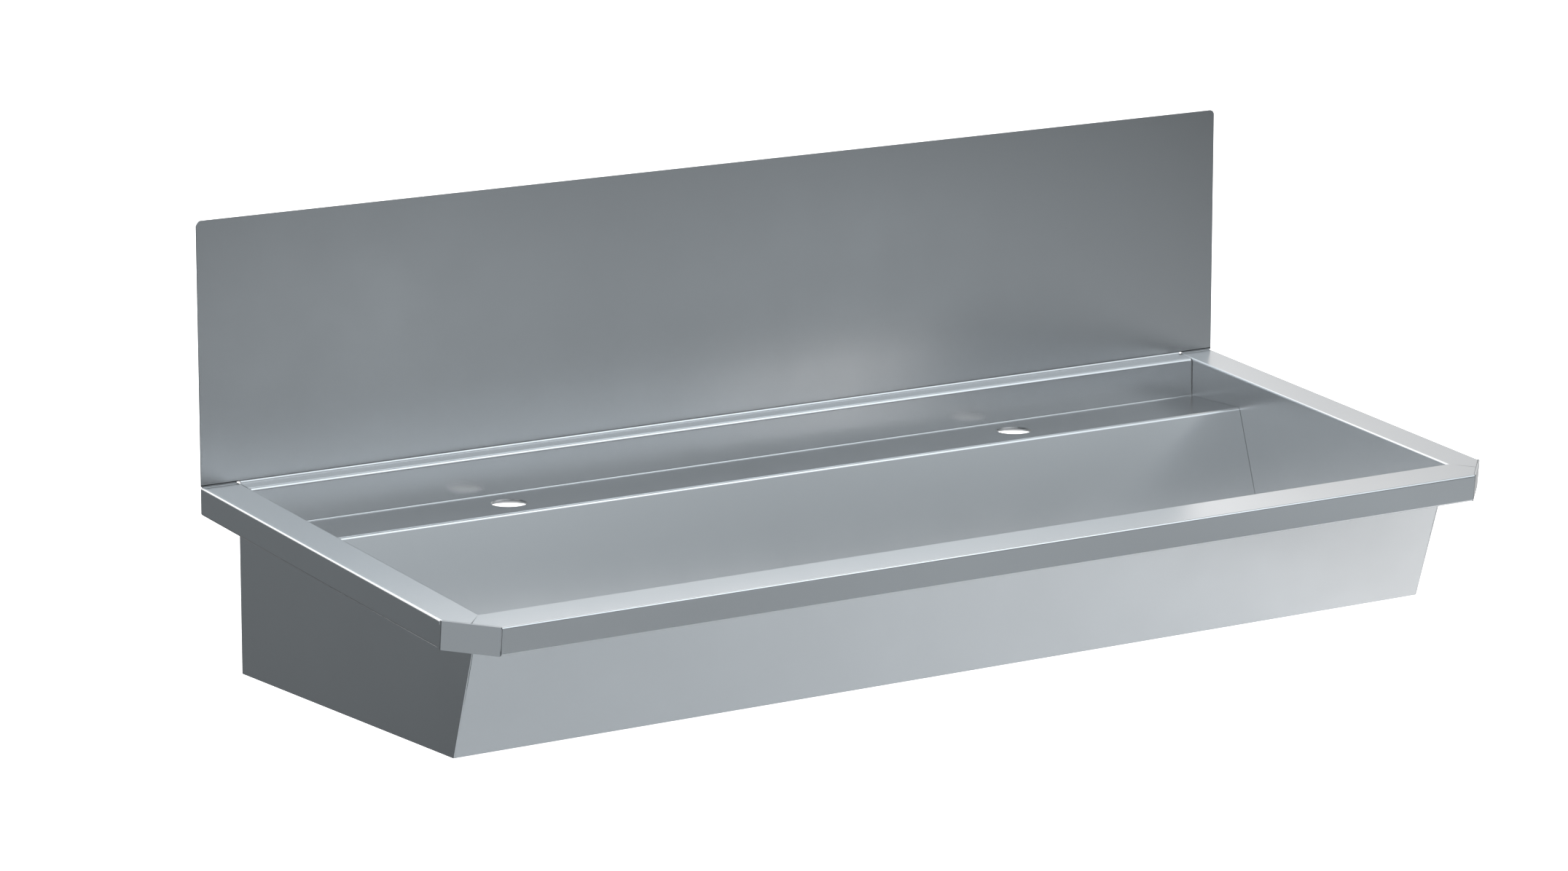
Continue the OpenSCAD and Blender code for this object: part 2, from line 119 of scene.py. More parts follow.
class Shell:
    """A sheet made of patches. Each patch is a grid of points on the near face and its partner
    on the far face. Patches that share a border share its points, and every border that is left
    open gets a wall across the thickness, so the shell is closed."""

    def __init__(self) -> None:
        """Starts an empty shell."""
        self.near: list[Array] = []
        self.far: list[Array] = []
        self.faces: list[Array] = []
        self.count = 0

    def patch(self, near: Array, far: Array) -> None:
        """Adds one grid, turned so that the near face looks away from the far one.

        Args:
            near: Points of the near face, rows by columns by three.
            far: Points of the far face, in the same order.
        """
        rows, columns = near.shape[:2]
        faces = grid_faces(rows, columns)
        a, b = near.reshape(-1, 3), far.reshape(-1, 3)
        across = np.cross(a[faces[:, 2]] - a[faces[:, 0]], a[faces[:, 3]] - a[faces[:, 1]])
        if np.sum(across * (a[faces[:, 0]] - b[faces[:, 0]])) < 0:
            faces = faces[:, ::-1]
        self.near.append(a)
        self.far.append(b)
        self.faces.append(faces + self.count)
        self.count += len(a)

    def mirrored(self) -> "Shell":
        """The same shell on the other side of the plane x = 0.

        Returns:
            The new shell.
        """
        other = Shell()
        other.near = [points * [-1, 1, 1] for points in self.near]
        other.far = [points * [-1, 1, 1] for points in self.far]
        other.faces = [faces[:, ::-1] for faces in self.faces]
        other.count = self.count
        return other

    def piece(self, name: str) -> bpy.types.Object:
        """Joins the patches where their points agree, walls the open borders, makes the mesh.

        Args:
            name: Name of the piece.

        Returns:
            The new object.
        """
        near, far = np.concatenate(self.near), np.concatenate(self.far)
        first, number = merge(np.hstack([near, far]))
        near, far, total = near[first], far[first], len(first)
        top = number[np.concatenate(self.faces)]
        edges = np.stack([top, np.roll(top, -1, 1)], -1).reshape(-1, 2)
        edges = edges[edges[:, 0] != edges[:, 1]]
        forward = edges[:, 0] * total + edges[:, 1]
        backward = edges[:, 1] * total + edges[:, 0]
        rim = edges[~np.isin(forward, backward)]
        walls = np.stack([rim[:, 1], rim[:, 0], rim[:, 0] + total, rim[:, 1] + total], -1)
        faces = np.concatenate([top, top[:, ::-1] + total, walls])
        return make_piece(name, np.concatenate([near, far]), faces)


# ---- folded sections ----


def left_of(direction: Array) -> Array:
    """The direction turned a quarter turn to the left."""
    return np.array([-direction[1], direction[0]])


def unit(vector: Array) -> Array:
    """The vector at length one."""
    return vector / np.linalg.norm(vector)


def fold(path: list, thickness: float, radius: float, steps: int = 10) -> Pair:
    """Section of a folded sheet, as points on its two faces.

    The path is the near face, and the sheet lies to its left. At a corner the face follows an
    arc that touches both runs. Its radius is the inside radius on a right turn, plus the
    thickness on a left turn. A point where the path runs straight on stays as it is.

    Args:
        path: Corner points in the section's plane.
        thickness: Thickness of the sheet.
        radius: Inside radius of every bend.
        steps: Flats that make up one bend.

    Returns:
        The near face and the far face, as rows of two coordinates.
    """
    corners = np.array(path, float)
    runs = [unit(end - start) for start, end in zip(corners[:-1], corners[1:])]
    near, normal = [corners[:1]], [left_of(runs[0])[None]]
    for corner, before, after in zip(corners[1:-1], runs[:-1], runs[1:]):
        turn = math.atan2(before[0] * after[1] - before[1] * after[0], float(before @ after))
        if math.isclose(turn, 0.0, abs_tol=1e-6):
            near.append(corner[None])
            normal.append(left_of(before)[None])
            continue
        side = math.copysign(1.0, turn)
        face_radius = radius + thickness if side > 0 else radius
        centre = corner - before * face_radius * math.tan(abs(turn) / 2)
        centre = centre + left_of(before) * side * face_radius
        angle = np.linspace(0.0, turn, steps + 1)
        base = left_of(before)
        lefts = np.stack([
            base[0] * np.cos(angle) - base[1] * np.sin(angle),
            base[0] * np.sin(angle) + base[1] * np.cos(angle),
        ], -1)
        near.append(centre - lefts * side * face_radius)
        normal.append(lefts)
    near.append(corners[-1:])
    normal.append(left_of(runs[-1])[None])
    face = np.concatenate(near)
    return face, face + np.concatenate(normal) * thickness


def cut_level(face: Array, z: float, first: bool) -> Array:
    """Slides a face's first or last point along its own run until it is at height z.

    Args:
        face: Points of the section, (y, z) each.
        z: Height of the cut.
        first: Whether the first point moves, and not the last.

    Returns:
        The changed points.
    """
    face = face.copy()
    end, inner = (0, 1) if first else (-1, -2)
    share = (z - face[inner, 1]) / (face[end, 1] - face[inner, 1])
    face[end] = face[inner] + (face[end] - face[inner]) * share
    return face


def spread(start: Array, end: Array, shares: Array) -> Array:
    """Grid between two lines of points: each row runs straight from its start to its end.

    Args:
        start: Start of each row, rows by three.
        end: End of each row, rows by three.
        shares: Place of each column, from 0 at the start to 1 at the end.

    Returns:
        Points, rows by columns by three.
    """
    return start[:, None] + (end - start)[:, None] * shares[None, :, None]


def along_x(section: Array, x0: Array | float, x1: Array | float, columns: int) -> Array:
    """Carries a (y, z) section along X. Each of its points may have its own two ends.

    Args:
        section: Points, (y, z) each.
        x0: Start, for all points or for each.
        x1: End, likewise.
        columns: Steps along X.

    Returns:
        Points, rows by columns by three.
    """
    count = len(section)
    start = np.column_stack([np.broadcast_to(x0, count), section])
    end = np.column_stack([np.broadcast_to(x1, count), section])
    return spread(start, end, np.linspace(0.0, 1.0, columns + 1))


def square_and_circle(side_steps: int) -> Pair:
    """A square and a circle of half-size one, as closed loops of equally many points that start
    at the same corner.

    Args:
        side_steps: Points along one side of the square.

    Returns:
        The square and the circle, as rows of two coordinates.
    """
    share = np.linspace(-1.0, 1.0, side_steps + 1)[:-1]
    one = np.ones_like(share)
    square = np.concatenate([
        np.column_stack([share, -one]), np.column_stack([one, share]),
        np.column_stack([-share, one]), np.column_stack([-one, -share]),
    ])
    angle = FIRST_CORNER + np.linspace(0.0, 2 * math.pi, len(square) + 1)[:-1]
    circle = np.column_stack([np.cos(angle), np.sin(angle)])
    return np.vstack([square, square[:1]]), np.vstack([circle, circle[:1]])


def at_height(outline: Array, z: float) -> Array:
    """Points of a flat outline at one height."""
    return np.column_stack([outline, np.full(len(outline), z)])


# ---- sizes shared by the sheets ----


@dataclass(frozen=True)
class TroughSizes:
    """Sizes of the trough in millimetres and radians. Lengths along the rim's slope are called
    v, from the splashback's face down to the front, and heights square to the rim are w."""

    half_length: float = 600.0
    depth: float = 467.0
    splash_height: float = 252.0
    basin_height: float = 184.0
    rim_z: float = 110.0
    sheet: float = 1.5
    bend: float = 2.0
    rim_bend: float = 0.8
    seam: float = 0.15
    open_seam: float = 1.0
    fall: float = math.radians(5.8)
    end_rim: float = 40.7
    front_rim: float = 41.5
    apron: float = 27.0
    apron_return: float = 10.0
    chamfer: float = 39.0
    strip: float = 20.5
    ledge_drop: float = 41.0
    ledge: float = 79.0
    slant: float = math.radians(17.8)
    tap_x: float = 300.0
    tap_y: float = -61.5
    tap_radius: float = 17.5
    flap_gap: float = 0.6
    waste_y: float = -230.0
    waste_pad: float = 96.0
    floor_fall: float = 7.0

    @property
    def inner_x(self) -> float:
        """Inner face of the end walls."""
        return self.half_length - self.end_rim

    @property
    def sheet_x(self) -> float:
        """Half-length of the ledge, the floor and the front wall."""
        return self.inner_x - self.seam

    @property
    def foot_z(self) -> float:
        """Lower edge of the basin's walls."""
        return self.rim_z - self.basin_height

    @property
    def ledge_z(self) -> float:
        """Top of the tap ledge."""
        return self.rim_z - self.ledge_drop

    @property
    def back_wall_y(self) -> float:
        """Inner face of the back wall."""
        return -(self.sheet + self.strip)

    @property
    def ledge_front_y(self) -> float:
        """Where the ledge turns down into the rear slope."""
        return self.back_wall_y - self.ledge

    @property
    def wall_in(self) -> float:
        """A leaning wall's thickness, measured level."""
        return self.sheet / math.cos(self.slant)

    @property
    def rim_v(self) -> float:
        """Length of the rim's slope, from the splashback to its front edge."""
        return (self.depth - self.sheet) / math.cos(self.fall)

    @property
    def inner_v(self) -> float:
        """Place of the front wall on the rim's slope."""
        return self.rim_v - self.front_rim

    @property
    def chamfer_v(self) -> float:
        """Place on the rim's slope where the cut-off corners begin."""
        return self.rim_v - self.chamfer

    @property
    def rim_cut_v(self) -> float:
        """Place where the rim's own cut edge begins, clear of the corner flap."""
        return self.chamfer_v - (self.sheet + self.flap_gap) * math.sqrt(2.0)

    @property
    def apron_end_x(self) -> float:
        """End of the front apron."""
        return self.half_length - self.chamfer - self.open_seam / 2

    @property
    def front_edge_y(self) -> float:
        """Where the front wall's inner face meets the rim."""
        return -self.sheet - self.inner_v * math.cos(self.fall)

    def rim_at(self, y: Array | float) -> Array | float:
        """Height of the rim's top at a distance from the wall."""
        return self.rim_z + (y + self.sheet) * math.tan(self.fall)

    def front_wall_y(self, z: Array | float) -> Array | float:
        """Inner face of the front wall at a height."""
        return self.front_edge_y + math.tan(self.slant) * (self.rim_at(self.front_edge_y) - z)

    def rear_slope_y(self, z: Array | float) -> Array | float:
        """Front face of the rear slope at a height."""
        return self.ledge_front_y - math.tan(self.slant) * (self.ledge_z - z)

    def slope_v(self, y: Array, z: Array) -> Array:
        """Distance down the rim's slope of a point in the wall frame."""
        return -(y + self.sheet) * math.cos(self.fall) - (z - self.rim_z) * math.sin(self.fall)

    def on_rim(self, x: Array, v: Array, w: Array) -> Array:
        """Points given along X, down the rim's slope and square to it, in the wall frame.

        Args:
            x: Place along the wall.
            v: Distance down the slope.
            w: Height square to it.

        Returns:
            Points in millimetres.
        """
        sine, cosine = math.sin(self.fall), math.cos(self.fall)
        return np.stack(np.broadcast_arrays(
            x, -self.sheet - v * cosine - w * sine, self.rim_z - v * sine + w * cosine
        ), -1)


SIZES = TroughSizes()


# ---- sheet-metal body ----


@dataclass
class Splashback:
    """Splashback, strip and back wall, folded from one sheet, with a round relief notch at each
    end of the lower bend."""

    corner_radius: float = 5.0
    wing_radius: float = 1.2
    wing_gap: float = 0.06
    notch_radius: float = 2.0
    strip_y: float = -4.1
    strip_reach: tuple[float, float] = (2.2, 0.9)
    strip_fade: tuple[float, float] = (0.6, 0.5)
    columns: int = 40
    wing_columns: int = 4

    def section(self) -> Pair:
        """Faces from the notch's top down the cove, over the strip and down the back wall.

        Returns:
            The near face and the far face.
        """
        s = SIZES
        path = [
            (-s.sheet, s.rim_z + self.wing_gap + self.notch_radius), (-s.sheet, s.rim_z),
            (self.strip_y, s.rim_at(self.strip_y)), (s.back_wall_y, s.rim_at(s.back_wall_y)),
            (s.back_wall_y, s.ledge_z - s.sheet),
        ]
        return fold(path, s.sheet, s.bend, steps=12)

    def build(self) -> bpy.types.Object:
        """Panel with rounded corners, wings beside the notches, and the folded strip below.

        The panel's half-width at height z is that of a rectangle with circular corners. A
        notch's edge is at its centre plus or minus the root of (radius² - height²). The strip
        is wider than the cove above it and the back wall below it, and meets the rims' bends.

        Returns:
            The piece.
        """
        s, shell = SIZES, Shell()
        low = s.rim_z + self.wing_gap
        top = s.rim_z + s.splash_height
        notch_x = s.inner_x + s.open_seam
        quarter = np.linspace(0.0, math.pi / 2, 13)
        notch_z = low + self.notch_radius * np.cos(quarter)
        panel_z = np.concatenate([
            top - self.corner_radius * (1 - np.cos(quarter)),
            np.linspace(top - self.corner_radius, low + self.wing_radius, 13)[1:],
            notch_z[:1],
        ])

        def half_width(z: Array) -> Array:
            """Half-width of the panel's outline at a height.

            Args:
                z: Heights.

            Returns:
                Half-widths there.
            """
            up = np.clip(z - (top - self.corner_radius), 0.0, self.corner_radius)
            down = np.clip(low + self.wing_radius - z, 0.0, self.wing_radius)
            return (
                s.half_length
                - self.corner_radius + np.sqrt(self.corner_radius**2 - up**2)
                - self.wing_radius + np.sqrt(self.wing_radius**2 - down**2)
            )

        def flat(z: Array, x0: Array | float, x1: Array | float, columns: int) -> None:
            """Adds one patch of the upright panel.

            Args:
                z: Heights of its rows.
                x0: Where each row starts.
                x1: Where each row ends.
                columns: Steps in a row.
            """
            shell.patch(*(
                along_x(np.column_stack([np.full(len(z), y), z]), x0, x1, columns)
                for y in (-s.sheet, 0.0)
            ))

        notch_reach = np.sqrt(np.clip(self.notch_radius**2 - (notch_z - low) ** 2, 0.0, None))
        for side in (-1.0, 1.0):
            flat(panel_z, side * half_width(panel_z), side * notch_x, self.wing_columns)
            flat(notch_z, side * half_width(notch_z), side * (notch_x + notch_reach),
                 self.wing_columns)
        flat(panel_z, -notch_x, notch_x, self.columns)

        near, far = self.section()
        up = np.clip(near[:, 1] - low, 0.0, self.notch_radius)
        end = notch_x - np.sqrt(self.notch_radius**2 - up**2)
        below, run = self.strip_fade
        on_strip = np.clip((near[:, 1] - s.rim_at(s.back_wall_y) + below) / run, 0.0, 1.0)
        on_strip = np.where(near[:, 0] <= self.strip_y + TINY, on_strip, 0.0)
        shell.patch(*(
            along_x(face, -end - on_strip * reach, end + on_strip * reach, self.columns)
            for face, reach in zip((near, far), self.strip_reach)
        ))
        return shell.piece("splashback_sheet")


@dataclass
class TapLedge:
    """Tap ledge and rear slope, folded from one sheet, with two tap holes and the dressed weld
    bead along its back."""

    margin: float = 24.0
    side_steps: int = 16
    end_steps: int = 8
    middle_steps: int = 20
    ring_steps: int = 4
    bead: float = 0.8
    end_gap: float = 0.1

    def build(self) -> bpy.types.Object:
        """Grid of the folded sheet with a square left out round each tap hole, and in it a ring
        of points that goes from the square's border to the hole's circle in equal steps. The
        bead is a quarter of a circle at the sheet's back edge.

        Returns:
            The piece.
        """
        s, shell = SIZES, Shell()
        path = [
            (s.back_wall_y - s.seam, s.ledge_z), (s.tap_y + self.margin, s.ledge_z),
            (s.tap_y - self.margin, s.ledge_z), (s.ledge_front_y, s.ledge_z),
            (s.rear_slope_y(s.foot_z), s.foot_z),
        ]
        near, far = (
            cut_level(face, s.foot_z, first=False) for face in fold(path, s.sheet, s.bend, 12)
        )
        turn = np.linspace(math.pi / 2, 0.0, 9)
        bead = self.bead * np.column_stack([np.sin(turn) - 1, 1 - np.cos(turn)]) + near[0]
        under = np.column_stack([bead[:, 0], np.full(len(bead), far[0, 1])])
        flat = 1 + len(bead)
        near, far = np.vstack([bead, near[1:]]), np.vstack([under, far[1:]])
        inside, outside = s.tap_x - self.margin, s.tap_x + self.margin
        end = s.sheet_x - self.end_gap
        for x0, x1, columns, holed in (
            (-end, -outside, self.end_steps, False),
            (-outside, -inside, self.side_steps, True),
            (-inside, inside, self.middle_steps, False),
            (inside, outside, self.side_steps, True),
            (outside, end, self.end_steps, False),
        ):
            def band(face: Array) -> Array:
                """One face of the part between x0 and x1."""
                return along_x(face, x0, x1, columns)

            shell.patch(band(near[:flat]), band(far[:flat]))
            shell.patch(band(near[flat:]), band(far[flat:]))
            if holed:
                self.ring(shell, (x0 + x1) / 2)
            else:
                shares = np.linspace(0.0, 1.0, self.side_steps + 1)
                shell.patch(*(
                    spread(band(face[flat - 1:flat])[0], band(face[flat:flat + 1])[0], shares)
                    for face in (near, far)
                ))
        return shell.piece("tap_ledge_sheet")

    def ring(self, shell: Shell, centre_x: float) -> None:
        """Adds the ring of points round one tap hole.

        Args:
            shell: Shell that the ring is added to.
            centre_x: Place of the hole along the wall.
        """
        s = SIZES
        square, circle = square_and_circle(self.side_steps)
        plan = spread(square * self.margin, circle * s.tap_radius,
                      np.linspace(0.0, 1.0, self.ring_steps + 1))
        plan = plan + [centre_x, s.tap_y]
        shell.patch(*(
            np.concatenate([plan, np.full(plan.shape[:2] + (1,), z)], -1)
            for z in (s.ledge_z, s.ledge_z - s.sheet)
        ))


@dataclass
class FrontSheet:
    """Front wall, front rim, apron and its return, folded from one sheet. The rim is mitred to
    the end rims and cut back behind the corner flaps."""

    columns: int = 48
    weld: float = 1.0
    weld_gap: float = 0.005
    reach: float = 466.64

    def ends(self, face: Array) -> Array:
        """Half-length of the sheet at each point of a face: that of the wall, growing as much
        as the slope distance past the wall along the mitre, and never past the cut edge that
        runs parallel to the cut-off corner.

        Args:
            face: Points of the section, (y, z) each.

        Returns:
            Half-length at each point.
        """
        s = SIZES
        v = s.slope_v(face[:, 0], face[:, 1])
        mitre = s.sheet_x + np.maximum(v - s.inner_v, 0.0)
        closed = np.clip(v - s.inner_v, 0.0, self.weld) / self.weld
        mitre = mitre + closed * (s.seam - self.weld_gap)
        cut = np.maximum(s.half_length - (v - s.rim_cut_v), s.apron_end_x)
        return np.minimum(mitre, cut)

    def build(self) -> bpy.types.Object:
        """Carries the folded section along X between the ends of its own points. No point
        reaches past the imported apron's front.

        Returns:
            The piece.
        """
        s, shell = SIZES, Shell()
        down = np.array([math.sin(s.fall), -math.cos(s.fall)])
        back = np.array([math.cos(s.fall), math.sin(s.fall)])
        inner = np.array([s.front_edge_y, s.rim_at(s.front_edge_y)])
        edge = np.array([-s.depth, s.rim_at(-s.depth)])
        mitre = (s.half_length - s.sheet_x + s.rim_cut_v - s.inner_v) / 2
        path = [
            (s.front_wall_y(s.foot_z), s.foot_z), inner, inner - back * mitre, edge,
            edge + down * s.apron, edge + down * s.apron + back * s.apron_return,
        ]
        near, far = (
            cut_level(face, s.foot_z, first=True)
            for face in fold(path, s.sheet, s.rim_bend, 12)
        )
        for face in (near, far):
            face[:, 0] = np.maximum(face[:, 0], -self.reach)
        shell.patch(*(
            along_x(face, -self.ends(face), self.ends(face), self.columns) for face in (near, far)
        ))
        return shell.piece("front_sheet_metal")


@dataclass
class EndSheet:
    """One end of the trough: end wall with its wall flange, rim, apron with its return, and the
    corner flap that is bent round from the apron across the cut-off corner."""

    flange: float = 20.0
    overlap: float = 6.0
    flap_start_v: float = 424.0
    flap_bend: float = 2.0
    seam_depth: float = 4.0
    seam_share: float = 0.9
    wall_run: float = 30.0
    columns: int = 24
    wall_rows: int = 8

    def rim_end(self, x: Array) -> Array:
        """Slope distance at which the left rim ends: along the cut edge that is parallel to the
        cut-off corner, or along the mitre, whichever comes first."""
        s = SIZES
        return np.minimum(s.rim_cut_v + (x + s.half_length), s.inner_v - (x + s.inner_x))

    def row(self, x: Array, w: Array, v_end: Array) -> Array:
        """Rows from the building's wall down the rim's slope, with breaks where the wall's
        flange begins and where the flap leaves the apron.

        Args:
            x: Place of each row along the wall.
            w: Height of each row square to the rim.
            v_end: Where each row ends.

        Returns:
            Points, rows by columns by three.
        """
        s = SIZES
        sine, cosine = math.sin(s.fall), math.cos(s.fall)
        at_wall = -(s.sheet + w * sine) / cosine
        at_bend = (s.bend - w * sine) / cosine
        shares = np.linspace(0.0, 1.0, self.columns + 1)
        middle = at_bend[:, None] + (self.flap_start_v - at_bend)[:, None] * shares
        v = np.concatenate([at_wall[:, None], middle, v_end[:, None]], 1)
        return s.on_rim(x[:, None], v, w[:, None])

    def left(self) -> Shell:
        """Patches of the left end.

        Returns:
            The shell, not yet a piece, because the right end mirrors it.
        """
        s, shell = SIZES, Shell()
        crest = (s.half_length + s.inner_x + s.inner_v - s.rim_cut_v) / 2
        path = [
            (-s.inner_x, -self.overlap), (-s.inner_x, 0.0), (-crest, 0.0), (-s.half_length, 0.0),
            (-s.half_length, -self.seam_depth), (-s.half_length, -s.apron),
            (-s.half_length + s.apron_return, -s.apron),
        ]
        near, far = fold(path, s.sheet, s.rim_bend, 12)
        from_seam = np.abs(near - [-s.half_length, -self.seam_depth]).sum(1)
        split = int(np.argmin(from_seam))
        upper = []
        for face in (near, far):
            x, w = face[: split + 1].T
            v_end = self.rim_end(x)
            v_end[0] = self.wall_front_v(w[0])
            upper.append(self.row(x, w, v_end))
        shell.patch(*upper)
        shell.patch(*(
            self.row(*face[split:].T, np.full(len(face) - split, s.rim_v))[:, :-1]
            for face in (near, far)
        ))
        self.wall(shell, upper[0][0], upper[1][0])
        self.flap(shell)
        return shell

    def wall_front_v(self, w: float) -> float:
        """Slope distance of the front wall's outer face at a height square to the rim.

        Args:
            w: Height square to the rim.

        Returns:
            The distance in millimetres.
        """
        s = SIZES
        probe = 20.0
        v = np.array([s.inner_v - probe, s.inner_v + probe])
        points = s.on_rim(0.0, v, np.full(2, w))
        ahead = points[:, 1] - (s.front_wall_y(points[:, 2]) - s.wall_in)
        return float(v[0] - ahead[0] * (v[1] - v[0]) / (ahead[1] - ahead[0]))

    def wall(self, shell: Shell, near_top: Array, far_top: Array) -> None:
        """Adds the upright wall under the rim, with the flange that is bent along the
        building's wall. Each of its columns runs straight down from the rim's part to the foot.

        Args:
            shell: Shell that the wall is added to.
            near_top: The inner face's points where the wall leaves the rim.
            far_top: The outer face's points there.
        """
        s = SIZES
        corner = [
            (-s.inner_x, -s.sheet - self.wall_run), (-s.inner_x, -s.sheet),
            (-s.inner_x - s.sheet + self.flange, -s.sheet),
        ]
        foot_front = s.front_wall_y(s.foot_z) - s.wall_in
        sides = []
        for bent, top in zip(fold(corner, s.sheet, s.bend, 10), (near_top, far_top)):
            top = top[1:]
            plan = bent[:0:-1]
            bend_z = s.rim_at(plan[:, 1]) - self.overlap / math.cos(s.fall)
            bend_top = np.column_stack([plan, bend_z])
            share = (top[:, 1] - top[0, 1]) / (top[-1, 1] - top[0, 1])
            foot_y = top[0, 1] + share * (foot_front - top[0, 1])
            foot = at_height(np.column_stack([top[:, 0], foot_y]), s.foot_z)
            sides.append(spread(
                np.vstack([at_height(plan, s.foot_z)[:-1], foot]),
                np.vstack([bend_top[:-1], top]), np.linspace(0.0, 1.0, self.wall_rows + 1),
            ))
        shell.patch(*sides)

    def flap(self, shell: Shell) -> None:
        """Adds the flap: a section bent at 45 degrees in the rim's plane, carried square to it.
        Its top edge stands free of the rim by an open seam.

        Args:
            shell: Shell that the flap is added to.
        """
        s = SIZES
        gap = s.open_seam * self.seam_share / math.sqrt(2.0)
        tip = (-s.half_length + s.chamfer - gap, -s.rim_v + gap)
        free_v = s.chamfer_v - self.flap_bend
        path = [
            (-s.half_length, -self.flap_start_v), (-s.half_length, -s.rim_cut_v),
            (-s.half_length, -free_v), (-s.half_length, -s.chamfer_v), tip,
        ]
        plans = fold(path, s.sheet, s.rim_bend, 10)
        lower = np.array([-self.seam_depth, s.rim_bend + s.sheet - s.apron, -s.apron])
        upper = np.array([0.0, -self.seam_depth])
        for heights, first in ((lower, 0), (upper, 2)):
            shell.patch(*(
                s.on_rim(plan[None, first:, 0], -plan[None, first:, 1], heights[:, None])
                for plan in plans
            ))


@dataclass
class BasinFloor:
    """Floor with a fall to the waste from all four sides, and a round well for its flange."""

    well_radius: float = 40.0
    well_depth: float = 4.5
    well_edge: float = 1.0
    hole_radius: float = 25.3
    side_steps: int = 24
    edge_steps: int = 6
    far_step: float = 0.01

    def build(self) -> bpy.types.Object:
        """Rings round the waste: hole, well, flat square and outer rectangle. A point keeps its
        share of a side on every ring, so straight creases run from corner to corner.

        Returns:
            The piece.
        """
        s, shell = SIZES, Shell()
        top, t, edge = s.foot_z + s.sheet, s.sheet, self.well_edge
        pad_z = top - s.floor_fall
        well_z = pad_z - self.well_depth
        back = s.rear_slope_y(s.foot_z) - s.seam
        front = s.front_wall_y(s.foot_z) + s.seam
        loop, circle = square_and_circle(self.side_steps)

        def ring(radius: float, z: float) -> Array:
            """Circle round the waste."""
            return at_height(circle * radius + [0.0, s.waste_y], z)

        square = at_height(loop * s.waste_pad / 2 + [0.0, s.waste_y], pad_z)
        outer = at_height(
            loop * [s.sheet_x, (back - front) / 2] + [0.0, (back + front) / 2], top
        )
        slopes = [square, square + (outer - square) * 0.5, outer]
        near = [
            ring(self.hole_radius, well_z), ring(self.well_radius, well_z),
            *(
                ring(self.well_radius + edge * (1 - math.cos(a)), pad_z - edge * (1 - math.sin(a)))
                for a in np.linspace(0.0, math.pi / 2, self.edge_steps)
            ),
            *slopes,
        ]
        far = [
            ring(self.hole_radius, well_z - t), ring(self.well_radius + t, well_z - t),
            *(
                ring(self.well_radius + t, pad_z - t - self.far_step * step)
                for step in reversed(range(self.edge_steps))
            ),
            *(line - [0, 0, t] for line in slopes),
        ]
        shell.patch(np.stack(near), np.stack(far))
        return shell.piece("basin_floor_sheet")


# ---- solids of revolution, slabs and nuts ----


def solid_piece(name: str, *grids: Array) -> bpy.types.Object:
    """Makes one piece from closed grids of points, such as the ring and spokes of a casting.

    Points of a grid that agree become one. Each surface is turned so that the volume it
    encloses, a sixth of the sum of a · (b × c) over its triangles, is positive.

    Args:
        name: Name of the piece.
        grids: Closed surfaces, each rows by columns by three, in millimetres.

    Returns:
        The new object.
    """
    all_points, all_faces, count = [], [], 0
    for grid in grids:
        points = grid.reshape(-1, 3)
        first, number = merge(points)
        points = points[first]
        faces = number[grid_faces(*grid.shape[:2])]
        corner = points[faces] - points.mean(0)
        volume = sum(
            np.einsum("ij,ij->i", corner[:, 0], np.cross(corner[:, i], corner[:, i + 1])).sum()
            for i in (1, 2)
        )
        all_points.append(points)
        all_faces.append((faces if volume > 0 else faces[:, ::-1]) + count)
        count += len(points)
    return make_piece(name, np.concatenate(all_points), np.concatenate(all_faces))


def revolve(profile: list, steps: int = 96) -> tuple[Array, Array, Array]:
    """Turns a profile round the Z axis.

    Args:
        profile: Radius and height of each point. A closed profile ends where it starts.
        steps: Faces round the axis.

    Returns:
        Radius, angle and height of each point of the grid, profile points by angles.
    """
    points = np.array(profile, float)
    angle = np.linspace(0.0, 2 * math.pi, steps + 1)
    radius = np.repeat(points[:, :1], steps + 1, 1)
    height = np.repeat(points[:, 1:], steps + 1, 1)
    return radius, np.broadcast_to(angle, radius.shape), height


def slotted(piece: bpy.types.Object, centre: Array, size: Array) -> bpy.types.Object:
    """Cuts a straight slot into a piece.

    Args:
        piece: The piece.
        centre: Middle of the slot in millimetres.
        size: Length of the slot's box along each axis.

    Returns:
        The same object with its new mesh.
    """
    corners = np.stack(np.meshgrid(*[[-0.5, 0.5]] * 3, indexing="ij"), -1).reshape(-1, 3)
    sides = np.array([
        (0, 1, 3, 2), (4, 6, 7, 5), (0, 4, 5, 1), (2, 3, 7, 6), (0, 2, 6, 4), (1, 5, 7, 3),
    ])
    cutter = make_piece("slot_cutter", corners * size + centre, sides, smooth=False)
    cut = piece.modifiers.new("slot", "BOOLEAN")
    cut.operation, cut.solver, cut.object = "DIFFERENCE", "EXACT", cutter
    bpy.context.view_layer.update()
    seen = piece.evaluated_get(bpy.context.evaluated_depsgraph_get())
    mesh = bpy.data.meshes.new_from_object(seen)
    piece.modifiers.clear()
    piece.data = mesh
    mesh.set_sharp_from_angle(angle=SHARP_ANGLE)
    bpy.data.objects.remove(cutter)
    return piece


def round_grid(radius: Array, angle: Array, height: Array, x: float, y: float) -> Array:
    """Points of a turned surface whose axis stands at x and y. The last column repeats the
    first one exactly.

    Args:
        radius: Radius of each point.
        angle: Angle of each point.
        height: Height of each point.
        x: The axis's place along the wall.
        y: The axis's place out from the wall.

    Returns:
        Points, rows by columns by three.
    """
    grid = np.stack([x + radius * np.cos(angle), y + radius * np.sin(angle), height], -1)
    grid[:, -1] = grid[:, 0]
    return grid


